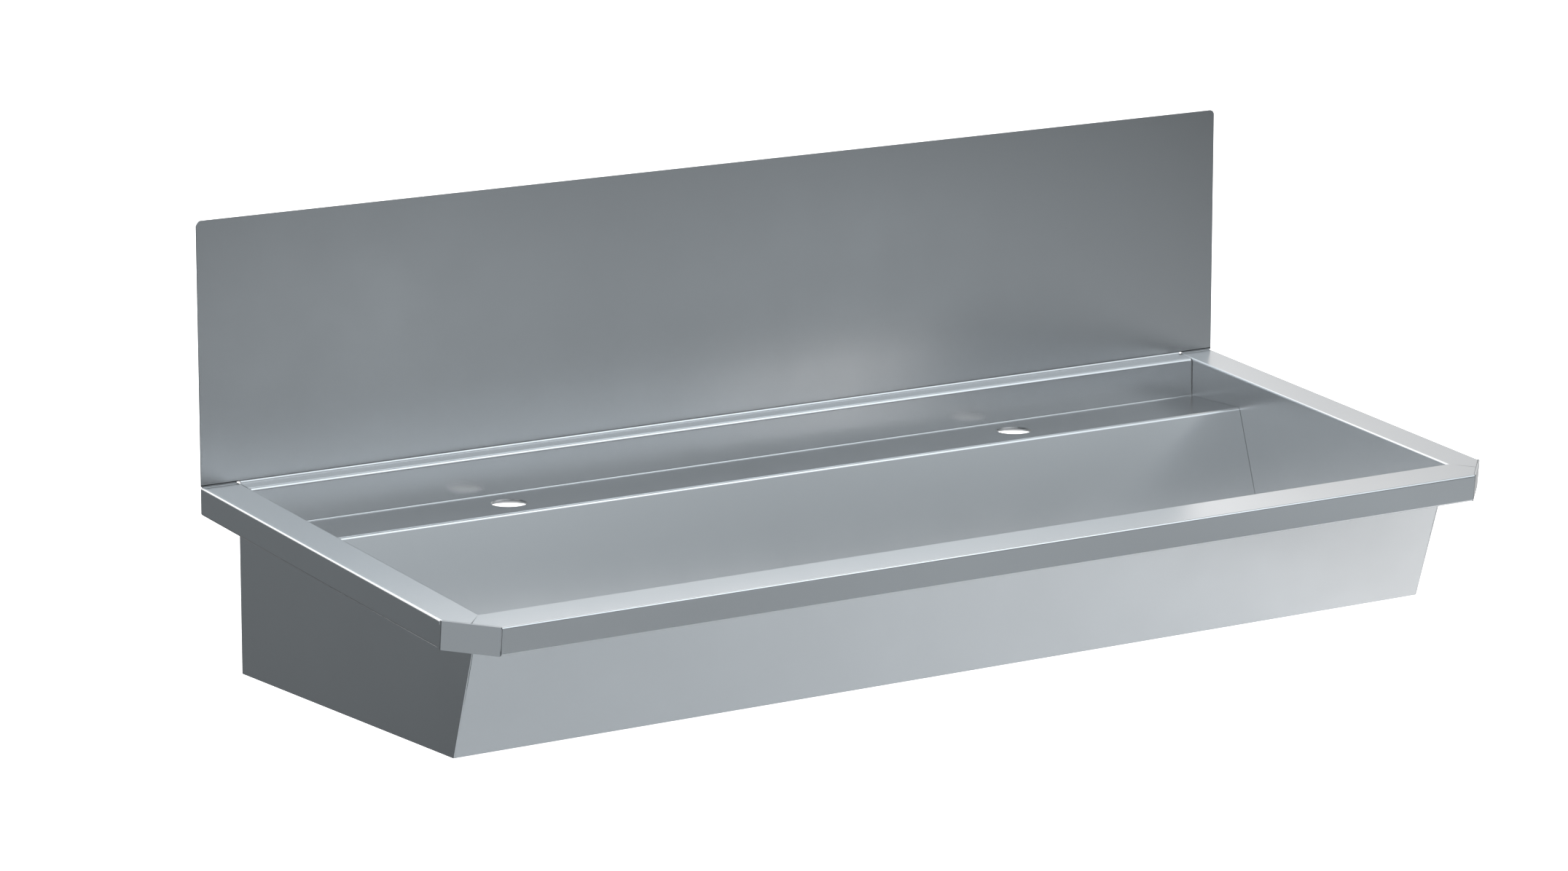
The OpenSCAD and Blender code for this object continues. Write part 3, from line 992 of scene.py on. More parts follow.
def threaded(radius: Array, angle: Array, height: Array, pitch: float, depth: float,
             low: float, high: float) -> Array:
    """Radius of a threaded surface: the crest less the depth times a triangle wave of height
    over pitch minus the share of a turn, and it fades out over one pitch at both ends.

    Args:
        radius: Radius of the crest.
        angle: Angle of each point.
        height: Height of each point.
        pitch: Rise of the thread in one turn.
        depth: Depth of the thread.
        low: Where the thread begins.
        high: Where it ends.

    Returns:
        Radius of each point.
    """
    phase = height / pitch - angle / (2 * math.pi)
    wave = np.abs(2 * (phase - np.floor(phase)) - 1)
    fade = np.clip(np.minimum(height - low, high - height) / pitch, 0.0, 1.0)
    return radius - depth * wave * fade


def ring_profile(outer: float, inner: float, low: float, high: float, edge: float) -> list:
    """Closed profile of a flat ring with its four edges broken at 45 degrees by the edge size.

    Args:
        outer: Outer radius.
        inner: Inner radius.
        low: Height of the lower face.
        high: Height of the upper face.
        edge: Size of the broken edges.

    Returns:
        Radius and height of each point.
    """
    return [
        (inner, low + edge), (inner + edge, low), (outer - edge, low), (outer, low + edge),
        (outer, high - edge), (outer - edge, high), (inner + edge, high), (inner, high - edge),
        (inner, low + edge),
    ]


def hex_nut(flats: float, bore: float, low: float, high: float) -> tuple[Array, Array, Array]:
    """Nut whose corners are turned off at 30 degrees on both ends.

    The outside radius is the smaller of the hexagon's, half the flats over the cosine of the
    angle from the nearest flat's middle, and the cone's, which grows by 1.73 times the depth
    below the end face.

    Args:
        flats: Width across the flats.
        bore: Radius of the hole.
        low: Height of the lower face.
        high: Height of the upper face.

    Returns:
        Radius, angle and height of each point.
    """
    crown, chamfer, cone_slope = 0.475 * flats, 0.6, 1.732
    depth = np.array([0.0, 0.1, 0.25, 0.5, 0.8, 1.3])
    sides = np.concatenate([low + depth, high - depth[::-1]])
    profile = [(bore, low + chamfer), (bore + chamfer, low)]
    profile += [(flats, z) for z in sides] + [(bore + chamfer, high), (bore, high - chamfer)]
    profile.append(profile[0])
    radius, angle, height = revolve(profile, 96)
    sector = np.mod(angle, math.pi / 3) - math.pi / 6
    hexagon = flats / 2 / np.cos(sector)
    cone = crown + cone_slope * np.minimum(height - low, high - height)
    side = radius == flats
    return np.where(side, np.minimum(hexagon, cone), radius), angle, height


def rounded_rectangle(half_x: float, half_y: float, radius: float, steps: int = 16) -> Array:
    """Closed outline of a rectangle with circular corners: each quarter of the points runs
    round one corner's centre.

    Args:
        half_x: Half of its length along X.
        half_y: Half of its length along Y.
        radius: Radius of the corners.
        steps: Points in one corner.

    Returns:
        Points, two coordinates each.
    """
    angle = np.linspace(0.0, math.pi / 2, steps)
    quarter = np.column_stack([np.cos(angle), np.sin(angle)]) * radius
    core = np.array([half_x - radius, half_y - radius])
    outline = np.concatenate([
        quarter @ np.array([[c, s], [-s, c]]) + core * (c - s, c + s)
        for c, s in ((1, 0), (0, 1), (-1, 0), (0, -1))
    ])
    return np.vstack([outline, outline[:1]])


def slab(half_x: float, half_y: float, corner: float, low: float, high: float,
         edge: float) -> Array:
    """Flat pad with rounded corners and softly rounded edges, closed over its middle: outlines
    that shrink by the edge radius times (1 - sine) as they near the top and the bottom.

    Args:
        half_x: Half of its length along X.
        half_y: Half of its length along Y.
        corner: Radius of the corners.
        low: Height of the lower face.
        high: Height of the upper face.
        edge: Radius of the edges.

    Returns:
        Points, rows by columns by three.
    """
    quarter = np.linspace(0.0, math.pi / 2, 6)
    rings = [
        (corner, low),
        *((edge * (1 - math.sin(a)), low + edge * (1 - math.cos(a))) for a in quarter),
        *((edge * (1 - math.cos(a)), high - edge * (1 - math.sin(a))) for a in quarter),
        (corner, high),
    ]
    layers = [
        at_height(rounded_rectangle(half_x - inset, half_y - inset, max(corner - inset, 0.01)), z)
        for inset, z in rings
    ]
    middle = np.zeros((len(layers[0]), 2))
    return np.stack([at_height(middle, low), *layers, at_height(middle, high)])


@dataclass
class Waste:
    """Waste in the floor's well: flanged body with a threaded outlet and a three-spoked bridge,
    two rubber rings, slip washer and lock nut."""

    flange_radius: float = 38.0
    lip: float = 0.9
    flange_z: float = -82.5
    top_z: float = -79.5
    recess_radius: float = 30.4
    recess_z: float = -81.0
    shank_radius: float = 25.0
    shank_z: float = -98.5
    outlet_radius: float = 23.9
    outlet_z: float = -110.5
    waterway: float = 20.5
    pitch: float = 2.309
    thread_depth: float = 1.2
    bridge_height: float = 8.0
    boss: tuple[float, float] = (6.0, 3.1)
    spokes: int = 3
    # Outer radius, lower height, upper height and broken edge of each ring round the shank.
    seal: tuple[float, float, float, float] = (37.0, -84.0, -82.5, 0.4)
    gasket: tuple[float, float, float, float] = (34.0, -88.0, -85.5, 0.6)
    slip_washer: tuple[float, float, float, float] = (33.5, -89.5, -88.0, 0.2)
    ring_gap: float = 0.3
    nut_flats: float = 66.0
    nut_height: float = 9.0
    nut_gap: float = 0.1
    screw_tip: float = -90.5
    screw_radius: float = 3.0
    screw_pitch: float = 1.0
    screw_depth: float = 0.5
    head_radius: float = 5.5
    head_side: float = 0.5
    head_height: float = 1.8
    slot_size: tuple[float, float, float] = (14.0, 1.4, 1.8)

    def at_waste(self, surface: tuple[Array, Array, Array]) -> Array:
        """A turned surface on the waste's axis."""
        return round_grid(*surface, 0.0, SIZES.waste_y)

    def body(self) -> bpy.types.Object:
        """Body: one closed profile, with the outlet's thread cut into it, and the bridge.

        Returns:
            The piece.
        """
        quarter = np.linspace(0.0, math.pi / 2, 6)
        lip = [
            (self.flange_radius - self.lip * (1 - math.cos(a)),
             self.top_z - self.lip * (1 - math.sin(a)))
            for a in quarter
        ]
        wide, fine, seat, edge = 0.5, 0.3, 0.6, 0.4
        thread_z = np.arange(self.outlet_z + wide, self.shank_z - fine, self.pitch / 8)
        profile = [
            (self.waterway + wide, self.outlet_z), (self.outlet_radius - wide, self.outlet_z),
            *((self.outlet_radius, z) for z in thread_z), (self.outlet_radius, self.shank_z),
            (self.shank_radius, self.shank_z), (self.shank_radius, self.flange_z),
            (self.flange_radius - fine, self.flange_z), (self.flange_radius, self.flange_z + fine),
            *lip, (self.recess_radius + fine, self.top_z), (self.recess_radius, self.top_z - fine),
            (self.recess_radius, self.recess_z), (self.waterway + seat, self.recess_z),
            (self.waterway, self.recess_z - seat), (self.waterway, self.outlet_z + wide),
            (self.waterway + wide, self.outlet_z),
        ]
        radius, angle, height = revolve(profile, 120)
        cut = threaded(radius, angle, height, self.pitch, self.thread_depth,
                       self.outlet_z + edge, self.shank_z - edge)
        on_thread = (radius == self.outlet_radius) & (height < self.shank_z)
        low, high = self.recess_z - self.bridge_height, self.recess_z
        return solid_piece(
            "waste_body_casting",
            self.at_waste((np.where(on_thread, cut, radius), angle, height)),
            self.at_waste(revolve(ring_profile(*self.boss, low, high, edge), 48)),
            *(
                self.spoke(2 * math.pi * turn / self.spokes, low, high - edge)
                for turn in range(self.spokes)
            ),
        )

    def spoke(self, turn: float, low: float, high: float) -> Array:
        """One spoke of the bridge: a rounded section carried outwards from the boss into the
        ring, and closed at both ends.

        Args:
            turn: Its direction, in radians.
            low: Height of its lower side.
            high: Height of its upper side.

        Returns:
            Points, rows by columns by three.
        """
        half_width, corner, start, end = 1.5, 1.0, 5.0, self.waterway + 0.8
        section = rounded_rectangle(half_width, (high - low) / 2, corner, 5)
        reach = np.array([start, start, end, end])
        size = np.array([0.0, 1.0, 1.0, 0.0])
        across = section[None, :, 0] * size[:, None]
        height = section[None, :, 1] * size[:, None] + (low + high) / 2
        out = np.broadcast_to(reach[:, None], across.shape)
        c, s = math.cos(turn), math.sin(turn)
        y = SIZES.waste_y + out * s + across * c
        return np.stack([out * c - across * s, y, height], -1)

    def ring(self, name: str, size: tuple[float, float, float, float]) -> bpy.types.Object:
        """A flat ring round the shank, of one of the sizes above.

        Args:
            name: Name of the piece.
            size: Outer radius, lower and upper height, and broken edge.

        Returns:
            The piece.
        """
        outer, low, high, edge = size
        profile = ring_profile(outer, self.shank_radius + self.ring_gap, low, high, edge)
        return solid_piece(name, self.at_waste(revolve(profile)))

    def lock_nut(self) -> bpy.types.Object:
        """The large nut under the floor.

        Returns:
            The piece.
        """
        nut = hex_nut(self.nut_flats, self.shank_radius + self.nut_gap, self.shank_z,
                      self.shank_z + self.nut_height)
        return solid_piece("waste_lock_nut", self.at_waste(nut))

    def screw(self) -> bpy.types.Object:
        """Strainer screw: threaded shank, and a low domed head with a slot across it.

        Returns:
            The piece.
        """
        top, tip, bevel, edge = self.top_z, self.screw_tip, 0.4, 0.2
        dome_height = self.head_height - self.head_side
        dome = [
            (self.head_radius * math.cos(a), top + self.head_side + dome_height * math.sin(a))
            for a in np.linspace(0.0, math.pi / 2, 10)[:-1]
        ]
        shank_z = np.arange(tip + self.screw_depth, top - edge / 2, self.screw_pitch / 8)
        profile = [
            (0.0, tip), (self.screw_radius - bevel, tip), (self.screw_radius, tip + bevel),
            *((self.screw_radius, z) for z in shank_z), (self.screw_radius, top),
            (self.head_radius - edge, top), (self.head_radius, top + edge), *dome,
            (0.0, top + self.head_height),
        ]
        radius, angle, height = revolve(profile, 48)
        cut = threaded(radius, angle, height, self.screw_pitch, self.screw_depth,
                       tip + edge, top - edge)
        radius = np.where((radius == self.screw_radius) & (height < top), cut, radius)
        screw = solid_piece("strainer_screw_domed", self.at_waste((radius, angle, height)))
        slot_centre = np.array([0.0, SIZES.waste_y, top + self.head_height - edge])
        return slotted(screw, slot_centre, np.array(self.slot_size))


@dataclass
class LedgeFixing:
    """Welded studs with washers and nuts, which hold the ledge down on the wall brackets."""

    x: float = 440.0
    y: float = -50.0
    top_z: float = 67.5
    length: float = 22.0
    radius: float = 4.0
    pitch: float = 1.25
    thread_depth: float = 0.65
    # Outer radius and hole's radius of a washer, and its thickness.
    washer: tuple[float, float] = (8.0, 4.3)
    washer_height: float = 1.6
    washer_z: float = 59.9
    nut_flats: float = 13.0
    nut_bore: float = 4.1
    nut_z: float = 53.4

    def both(self, name: str, surface: tuple[Array, Array, Array]) -> bpy.types.Object:
        """The same turned surface at both brackets, as one piece.

        Args:
            name: Name of the piece.
            surface: Radius, angle and height of each point.

        Returns:
            The piece.
        """
        return solid_piece(name, *(
            round_grid(*surface, side * self.x, self.y) for side in (-1.0, 1.0)
        ))

    def studs(self) -> bpy.types.Object:
        """Studs: thread over their whole length, and a small cone at the tip.

        Returns:
            The piece.
        """
        tip, cone, plain = self.top_z - self.length, 0.6, 1.5
        heights = np.arange(tip + cone, self.top_z - 0.05, self.pitch / 8)
        profile = [(0.0, tip), (self.radius - cone, tip), *((self.radius, z) for z in heights),
                   (self.radius, self.top_z), (0.0, self.top_z)]
        radius, angle, height = revolve(profile, 32)
        cut = threaded(radius, angle, height, self.pitch, self.thread_depth,
                       tip + 0.5, self.top_z - plain)
        threads = np.where(radius == self.radius, cut, radius)
        return self.both("ledge_studs_m8", (threads, angle, height))

    def washers(self) -> bpy.types.Object:
        """Flat washers under the bracket arms."""
        profile = ring_profile(*self.washer, self.washer_z, self.washer_z + self.washer_height, 0.2)
        return self.both("stud_washers_flat", revolve(profile, 64))

    def nuts(self) -> bpy.types.Object:
        """Hexagon nuts under the washers."""
        nut = hex_nut(self.nut_flats, self.nut_bore, self.nut_z, self.washer_z)
        return self.both("stud_nuts_hex", nut)


@dataclass
class Underside:
    """What is fixed under the basin and the ledge: plates round the tap holes and damping pads
    on the floor."""

    plate_length: float = 90.0
    plate_width: float = 62.0
    plate_z: float = 64.5
    plate_top_z: float = 67.5
    plate_corner: float = 3.0
    plate_edge: float = 0.4
    countersink: float = 4.0
    pad_length: float = 300.0
    pad_width: float = 100.0
    pad_thickness: float = 3.0
    pad_corner: float = 8.0
    pad_edge: float = 0.8
    pad_y: float = -236.0
    glue: float = 0.1

    def tap_plate(self, name: str, side: float) -> bpy.types.Object:
        """Plate with rounded corners round a tap hole, which is countersunk from below:
        outlines that go round between the rectangle and the hole, over the top and back.

        Args:
            name: Name of the piece.
            side: -1 for the left hole, 1 for the right one.

        Returns:
            The piece.
        """
        s, steps = SIZES, 16
        turns = [np.linspace(0.0, math.pi / 2, steps) + k * math.pi / 2 for k in range(4)]
        angle = np.concatenate([*turns, [0.0]])
        hole = np.column_stack([np.cos(angle), np.sin(angle)])
        low, high, edge = self.plate_z, self.plate_top_z, self.plate_edge
        layers = []
        for in_hole, size, z in (
            (True, self.countersink, low), (False, edge, low), (False, 0.0, low + edge),
            (False, 0.0, high - edge), (False, edge, high), (True, edge, high),
            (True, 0.0, high - edge), (True, self.countersink, low),
        ):
            outline = hole * (s.tap_radius + size) if in_hole else rounded_rectangle(
                self.plate_length / 2 - size, self.plate_width / 2 - size,
                self.plate_corner - size, steps,
            )
            layers.append(at_height(outline + [side * s.tap_x, s.tap_y], z))
        return solid_piece(name, np.stack(layers))

    def sound_pad(self, name: str, side: float) -> bpy.types.Object:
        """Damping pad on the underside of one half of the floor, tilted with its fall.

        Args:
            name: Name of the piece.
            side: -1 for the left half, 1 for the right one.

        Returns:
            The piece.
        """
        s = SIZES
        run = s.sheet_x - s.waste_pad / 2
        slope = math.atan(s.floor_fall / run)
        grid = slab(self.pad_length / 2, self.pad_width / 2, self.pad_corner,
                    -self.pad_thickness - self.glue, -self.glue, self.pad_edge)
        along, up = grid[..., 0] + run / 2, grid[..., 2]
        cosine, sine = math.cos(slope), math.sin(slope)
        x = along * cosine + up * sine - s.sheet_x
        z = -along * sine + up * cosine + s.foot_z
        return solid_piece(name, np.stack([x * -side, grid[..., 1] + self.pad_y, z], -1))


def softened_copy(node: str, width: float) -> bpy.types.Object:
    """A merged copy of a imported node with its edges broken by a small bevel.

    Args:
        node: Name of the node.
        width: Width of the bevel in millimetres.

    Returns:
        The copy, as a piece of its own.
    """
    flat_angle, edge_angle = math.radians(0.5), math.radians(50.0)
    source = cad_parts[node]
    piece = bpy.data.objects.new(node + "_plate", source.data.copy())
    bpy.context.scene.collection.objects.link(piece)
    form = bmesh.new()
    form.from_mesh(piece.data)
    bmesh.ops.remove_doubles(form, verts=form.verts, dist=TINY * MM)
    bmesh.ops.dissolve_limit(form, angle_limit=flat_angle, verts=form.verts, edges=form.edges)
    form.to_mesh(piece.data)
    form.free()
    piece.data.polygons.foreach_set("use_smooth", np.ones(len(piece.data.polygons), bool))
    piece.data.set_sharp_from_angle(angle=SHARP_ANGLE)
    soft = piece.modifiers.new("broken_edges", "BEVEL")
    soft.width, soft.segments, soft.limit_method = width * MM, 2, "ANGLE"
    soft.angle_limit = edge_angle
    soft.harden_normals = True
    return piece


# ---- finishes ----


def linear(hex_colour: str) -> tuple[float, float, float, float]:
    """Turns an sRGB hex colour into linear RGBA.

    Args:
        hex_colour: The colour, as # and six digits.

    Returns:
        Red, green, blue and alpha, from 0 to 1.
    """
    values = [int(hex_colour[i:i + 2], 16) / 255 for i in (1, 3, 5)]
    return tuple(
        v / 12.92 if v <= 0.04045 else ((v + 0.055) / 1.055) ** 2.4 for v in values
    ) + (1.0,)


def add_node(tree: bpy.types.NodeTree, kind: str, settings: dict | None = None,
             links: dict | None = None) -> bpy.types.Node:
    """Adds a node.

    Args:
        tree: Node tree that gets it.
        kind: Blender's name of the node's type.
        settings: Values of its inputs, or of its own properties, by name.
        links: Sockets that feed its inputs, by the input's name or number.

    Returns:
        The node.
    """
    node = tree.nodes.new(kind)
    for key, value in (settings or {}).items():
        if isinstance(key, int) or key in node.inputs:
            node.inputs[key].default_value = value
        else:
            setattr(node, key, value)
    for key, socket in (links or {}).items():
        tree.links.new(socket, node.inputs[key])
    return node


def empty_tree(holder: bpy.types.Material | bpy.types.World) -> bpy.types.NodeTree:
    """The node tree of a new material or world, without any node in it.

    Args:
        holder: The material or world.

    Returns:
        Its tree.
    """
    holder.use_nodes = True
    holder.node_tree.nodes.clear()
    return holder.node_tree


class Grain(Enum):
    """Direction of a surface's grain. Its value is the length of a wave in millimetres along X,
    Y and Z."""

    ALONG_X = (60.0, 0.35, 0.35)
    ALONG_Y = (0.35, 60.0, 0.35)
    NONE = (0.8, 0.8, 0.8)
    TURNED = (14.0, 14.0, 0.25)


@dataclass(frozen=True)
class Finish:
    """What every finish has: its name, its slot in the record, two close tones and roughness."""

    name: str
    slot: str
    tone: str
    second_tone: str
    roughness: float

    def start(self) -> tuple[bpy.types.Material, bpy.types.NodeTree, bpy.types.NodeSocket]:
        """A new material, its empty tree, and the place on the piece in its own frame.

        Returns:
            Material, tree and the socket that gives the place.
        """
        material = bpy.data.materials.new(self.name)
        tree = empty_tree(material)
        return material, tree, add_node(tree, "ShaderNodeTexCoord").outputs["Object"]

    def toned(self, tree: bpy.types.NodeTree, share: bpy.types.NodeSocket) -> bpy.types.NodeSocket:
        """Blend of the two tones by a noise, with most of it between 0.3 and 0.7.

        Args:
            tree: The material's tree.
            share: Socket that gives the noise.

        Returns:
            Socket that gives the colour.
        """
        ramp = add_node(tree, "ShaderNodeValToRGB", links={"Fac": share})
        stops = ((0.3, self.tone), (0.7, self.second_tone))
        for stop, (place, tone) in zip(ramp.color_ramp.elements, stops):
            stop.position, stop.color = place, linear(tone)
        return ramp.outputs["Color"]

    def finished(self, material: bpy.types.Material, tree: bpy.types.NodeTree,
                 slow: bpy.types.Node, rough: bpy.types.Node, bump: bpy.types.Node,
                 settings: dict) -> bpy.types.Material:
        """Ends a material with its shader.

        Args:
            material: The material.
            tree: Its node tree.
            slow: Noise that blends the two tones.
            rough: Node that gives the roughness.
            bump: Node that gives the relief.
            settings: The shader's own values.

        Returns:
            The same material.
        """
        shader = add_node(tree, "ShaderNodeBsdfPrincipled", settings, {
            "Base Color": self.toned(tree, slow.outputs[0]), "Roughness": rough.outputs[0],
            "Normal": bump.outputs[0],
        })
        add_node(tree, "ShaderNodeOutputMaterial", links={"Surface": shader.outputs[0]})
        return material


@dataclass(frozen=True)
class BareMetal(Finish):
    """Uncoated metal. Fine grain and slow patches vary its roughness, and it reflects a little
    less at a flat angle, as iron and chromium do."""

    grain: Grain = Grain.NONE
    edge_tone: str = "#e1e1e1"
    spread: float = 0.03
    relief: float = 0.002
    patch: float = 90.0

    def material(self) -> bpy.types.Material:
        """Builds the material.

        Returns:
            The material.
        """
        material, tree, place = self.start()
        stretched = add_node(tree, "ShaderNodeMapping", {
            "Scale": tuple(1.0 / (wave * MM) for wave in self.grain.value),
        }, {"Vector": place})
        fine = add_node(tree, "ShaderNodeTexNoise", {"Scale": 1.0, "Detail": 3.0, "Roughness": 0.6},
                        {"Vector": stretched.outputs[0]})
        slow = add_node(tree, "ShaderNodeTexNoise", {
            "Scale": 1.0 / (self.patch * MM), "Detail": 2.0,
        }, {"Vector": place})
        both = add_node(tree, "ShaderNodeMath", {"operation": "ADD"},
                        {0: fine.outputs[0], 1: slow.outputs[0]})
        rough = add_node(tree, "ShaderNodeMapRange", {
            "From Min": 0.6, "From Max": 1.4,
            "To Min": self.roughness - self.spread, "To Max": self.roughness + self.spread,
        }, {"Value": both.outputs[0]})
        bump = add_node(tree, "ShaderNodeBump", {"Strength": 0.25, "Distance": self.relief * MM},
                        {"Height": fine.outputs[0]})
        return self.finished(material, tree, slow, rough, bump, {
            "Metallic": 1.0, "Specular Tint": linear(self.edge_tone),
        })


@dataclass(frozen=True)
class Compound(Finish):
    """Rubber, bitumen or nylon: a dull surface with two tones and a relief of its own size."""

    tone_size: float = 12.0
    cell: float = 0.6
    relief: float = 0.05
    embossed: bool = False
    spread: float = 0.06

    def material(self) -> bpy.types.Material:
        """Builds the material. Its relief is fine noise, or round cells where it is embossed.

        Returns:
            The material.
        """
        material, tree, place = self.start()
        slow = add_node(tree, "ShaderNodeTexNoise", {
            "Scale": 1.0 / (self.tone_size * MM), "Detail": 4.0,
        }, {"Vector": place})
        kind = "ShaderNodeTexVoronoi" if self.embossed else "ShaderNodeTexNoise"
        fine = add_node(tree, kind, {"Scale": 1.0 / (self.cell * MM)}, {"Vector": place})
        bump = add_node(tree, "ShaderNodeBump", {"Strength": 0.6, "Distance": self.relief * MM},
                        {"Height": fine.outputs[0]})
        rough = add_node(tree, "ShaderNodeMapRange", {
            "From Min": 0.3, "From Max": 0.7,
            "To Min": self.roughness - self.spread, "To Max": self.roughness + self.spread,
        }, {"Value": slow.outputs[0]})
        return self.finished(material, tree, slow, rough, bump, {"IOR": 1.5})


# Stainless sheet, satin belt finish of 240 grit: soft reflections without a clear picture in
# them. Its scratches lie 0.05 mm apart, and are drawn 0.35 mm apart to show in a close view.
LONG_GRAIN, CROSS_GRAIN = (
    BareMetal(name, "satin_stainless", "#e3e4e5", "#e1e2e3", 0.24, grain)
    for name, grain in (("satin_stainless_long_grain", Grain.ALONG_X),
                        ("satin_stainless_cross_grain", Grain.ALONG_Y))
)
# Hot-rolled and pickled stainless plate: greyer and duller than the sheet, in broad patches.
MILL_PLATE = BareMetal("pickled_stainless_plate", "stainless_plate", "#c8c9ca", "#bcbdbf", 0.42,
                       spread=0.07, relief=0.012, patch=25.0)
# Investment-cast stainless, turned where it seals: fine rings on a brighter metal.
CAST_STEEL = BareMetal("cast_turned_stainless", "cast_stainless", "#d6d7d8", "#ccced0", 0.27,
                       Grain.TURNED, spread=0.05, relief=0.006, patch=20.0)
# Bright zinc on steel fasteners: bluish white in small patches.
ZINC_PLATE = BareMetal("bright_zinc_on_steel", "zinc_plated_steel", "#d2d6dc", "#c6cbd0", 0.26,
                       spread=0.09, relief=0.006, patch=4.0)
# Turned brass: warm yellow with a fine turned grain.
TURNED_BRASS = BareMetal("turned_brass", "brass", "#dcba7c", "#cfaa68", 0.3, Grain.TURNED,
                         spread=0.06, relief=0.01, patch=15.0)
# Moulded EPDM rubber: nearly black and matt, with a faint bloom.
RUBBER = Compound("moulded_epdm_rubber", "black_rubber", "#202021", "#2c2c2e", 0.62, 9.0, 0.5, 0.03)
# Bitumen damping sheet: dull dark grey, rolled with a pattern of 5 mm cells.
BITUMEN = Compound("embossed_bitumen_sheet", "damping_compound", "#2f3031", "#3d3e3f", 0.72, 30.0,
                   5.0, 0.5, True)
# Natural moulded nylon: a warm white with a low sheen.
NYLON = Compound("moulded_nylon_66", "white_nylon", "#e6e3d8", "#dedacd", 0.45, 14.0, 0.8, 0.01)


# ---- studio ----


# Light of the softboxes: a cool daylight white in front, a plain white behind.
COOL = "#eef7fd"
WARM = "#fcfdfe"


@dataclass(frozen=True)
class SoftboxRow:
    """Equal soft bright patches at one height on the studio's tent: where they are seen from the
    trough, how wide and how bright they are. Angles in degrees, azimuth 0 towards the wall and
    90 to the right."""

    azimuths: tuple[float, ...]
    elevation: float
    width: float
    strength: float
    colour: str

    def directions(self) -> list[tuple[float, float, float]]:
        """Unit vectors from the trough to the centres of the patches.

        Returns:
            One vector for each patch.
        """
        level, up = math.cos(math.radians(self.elevation)), math.sin(math.radians(self.elevation))
        return [
            (math.sin(turn) * level, math.cos(turn) * level, up)
            for turn in map(math.radians, self.azimuths)
        ]


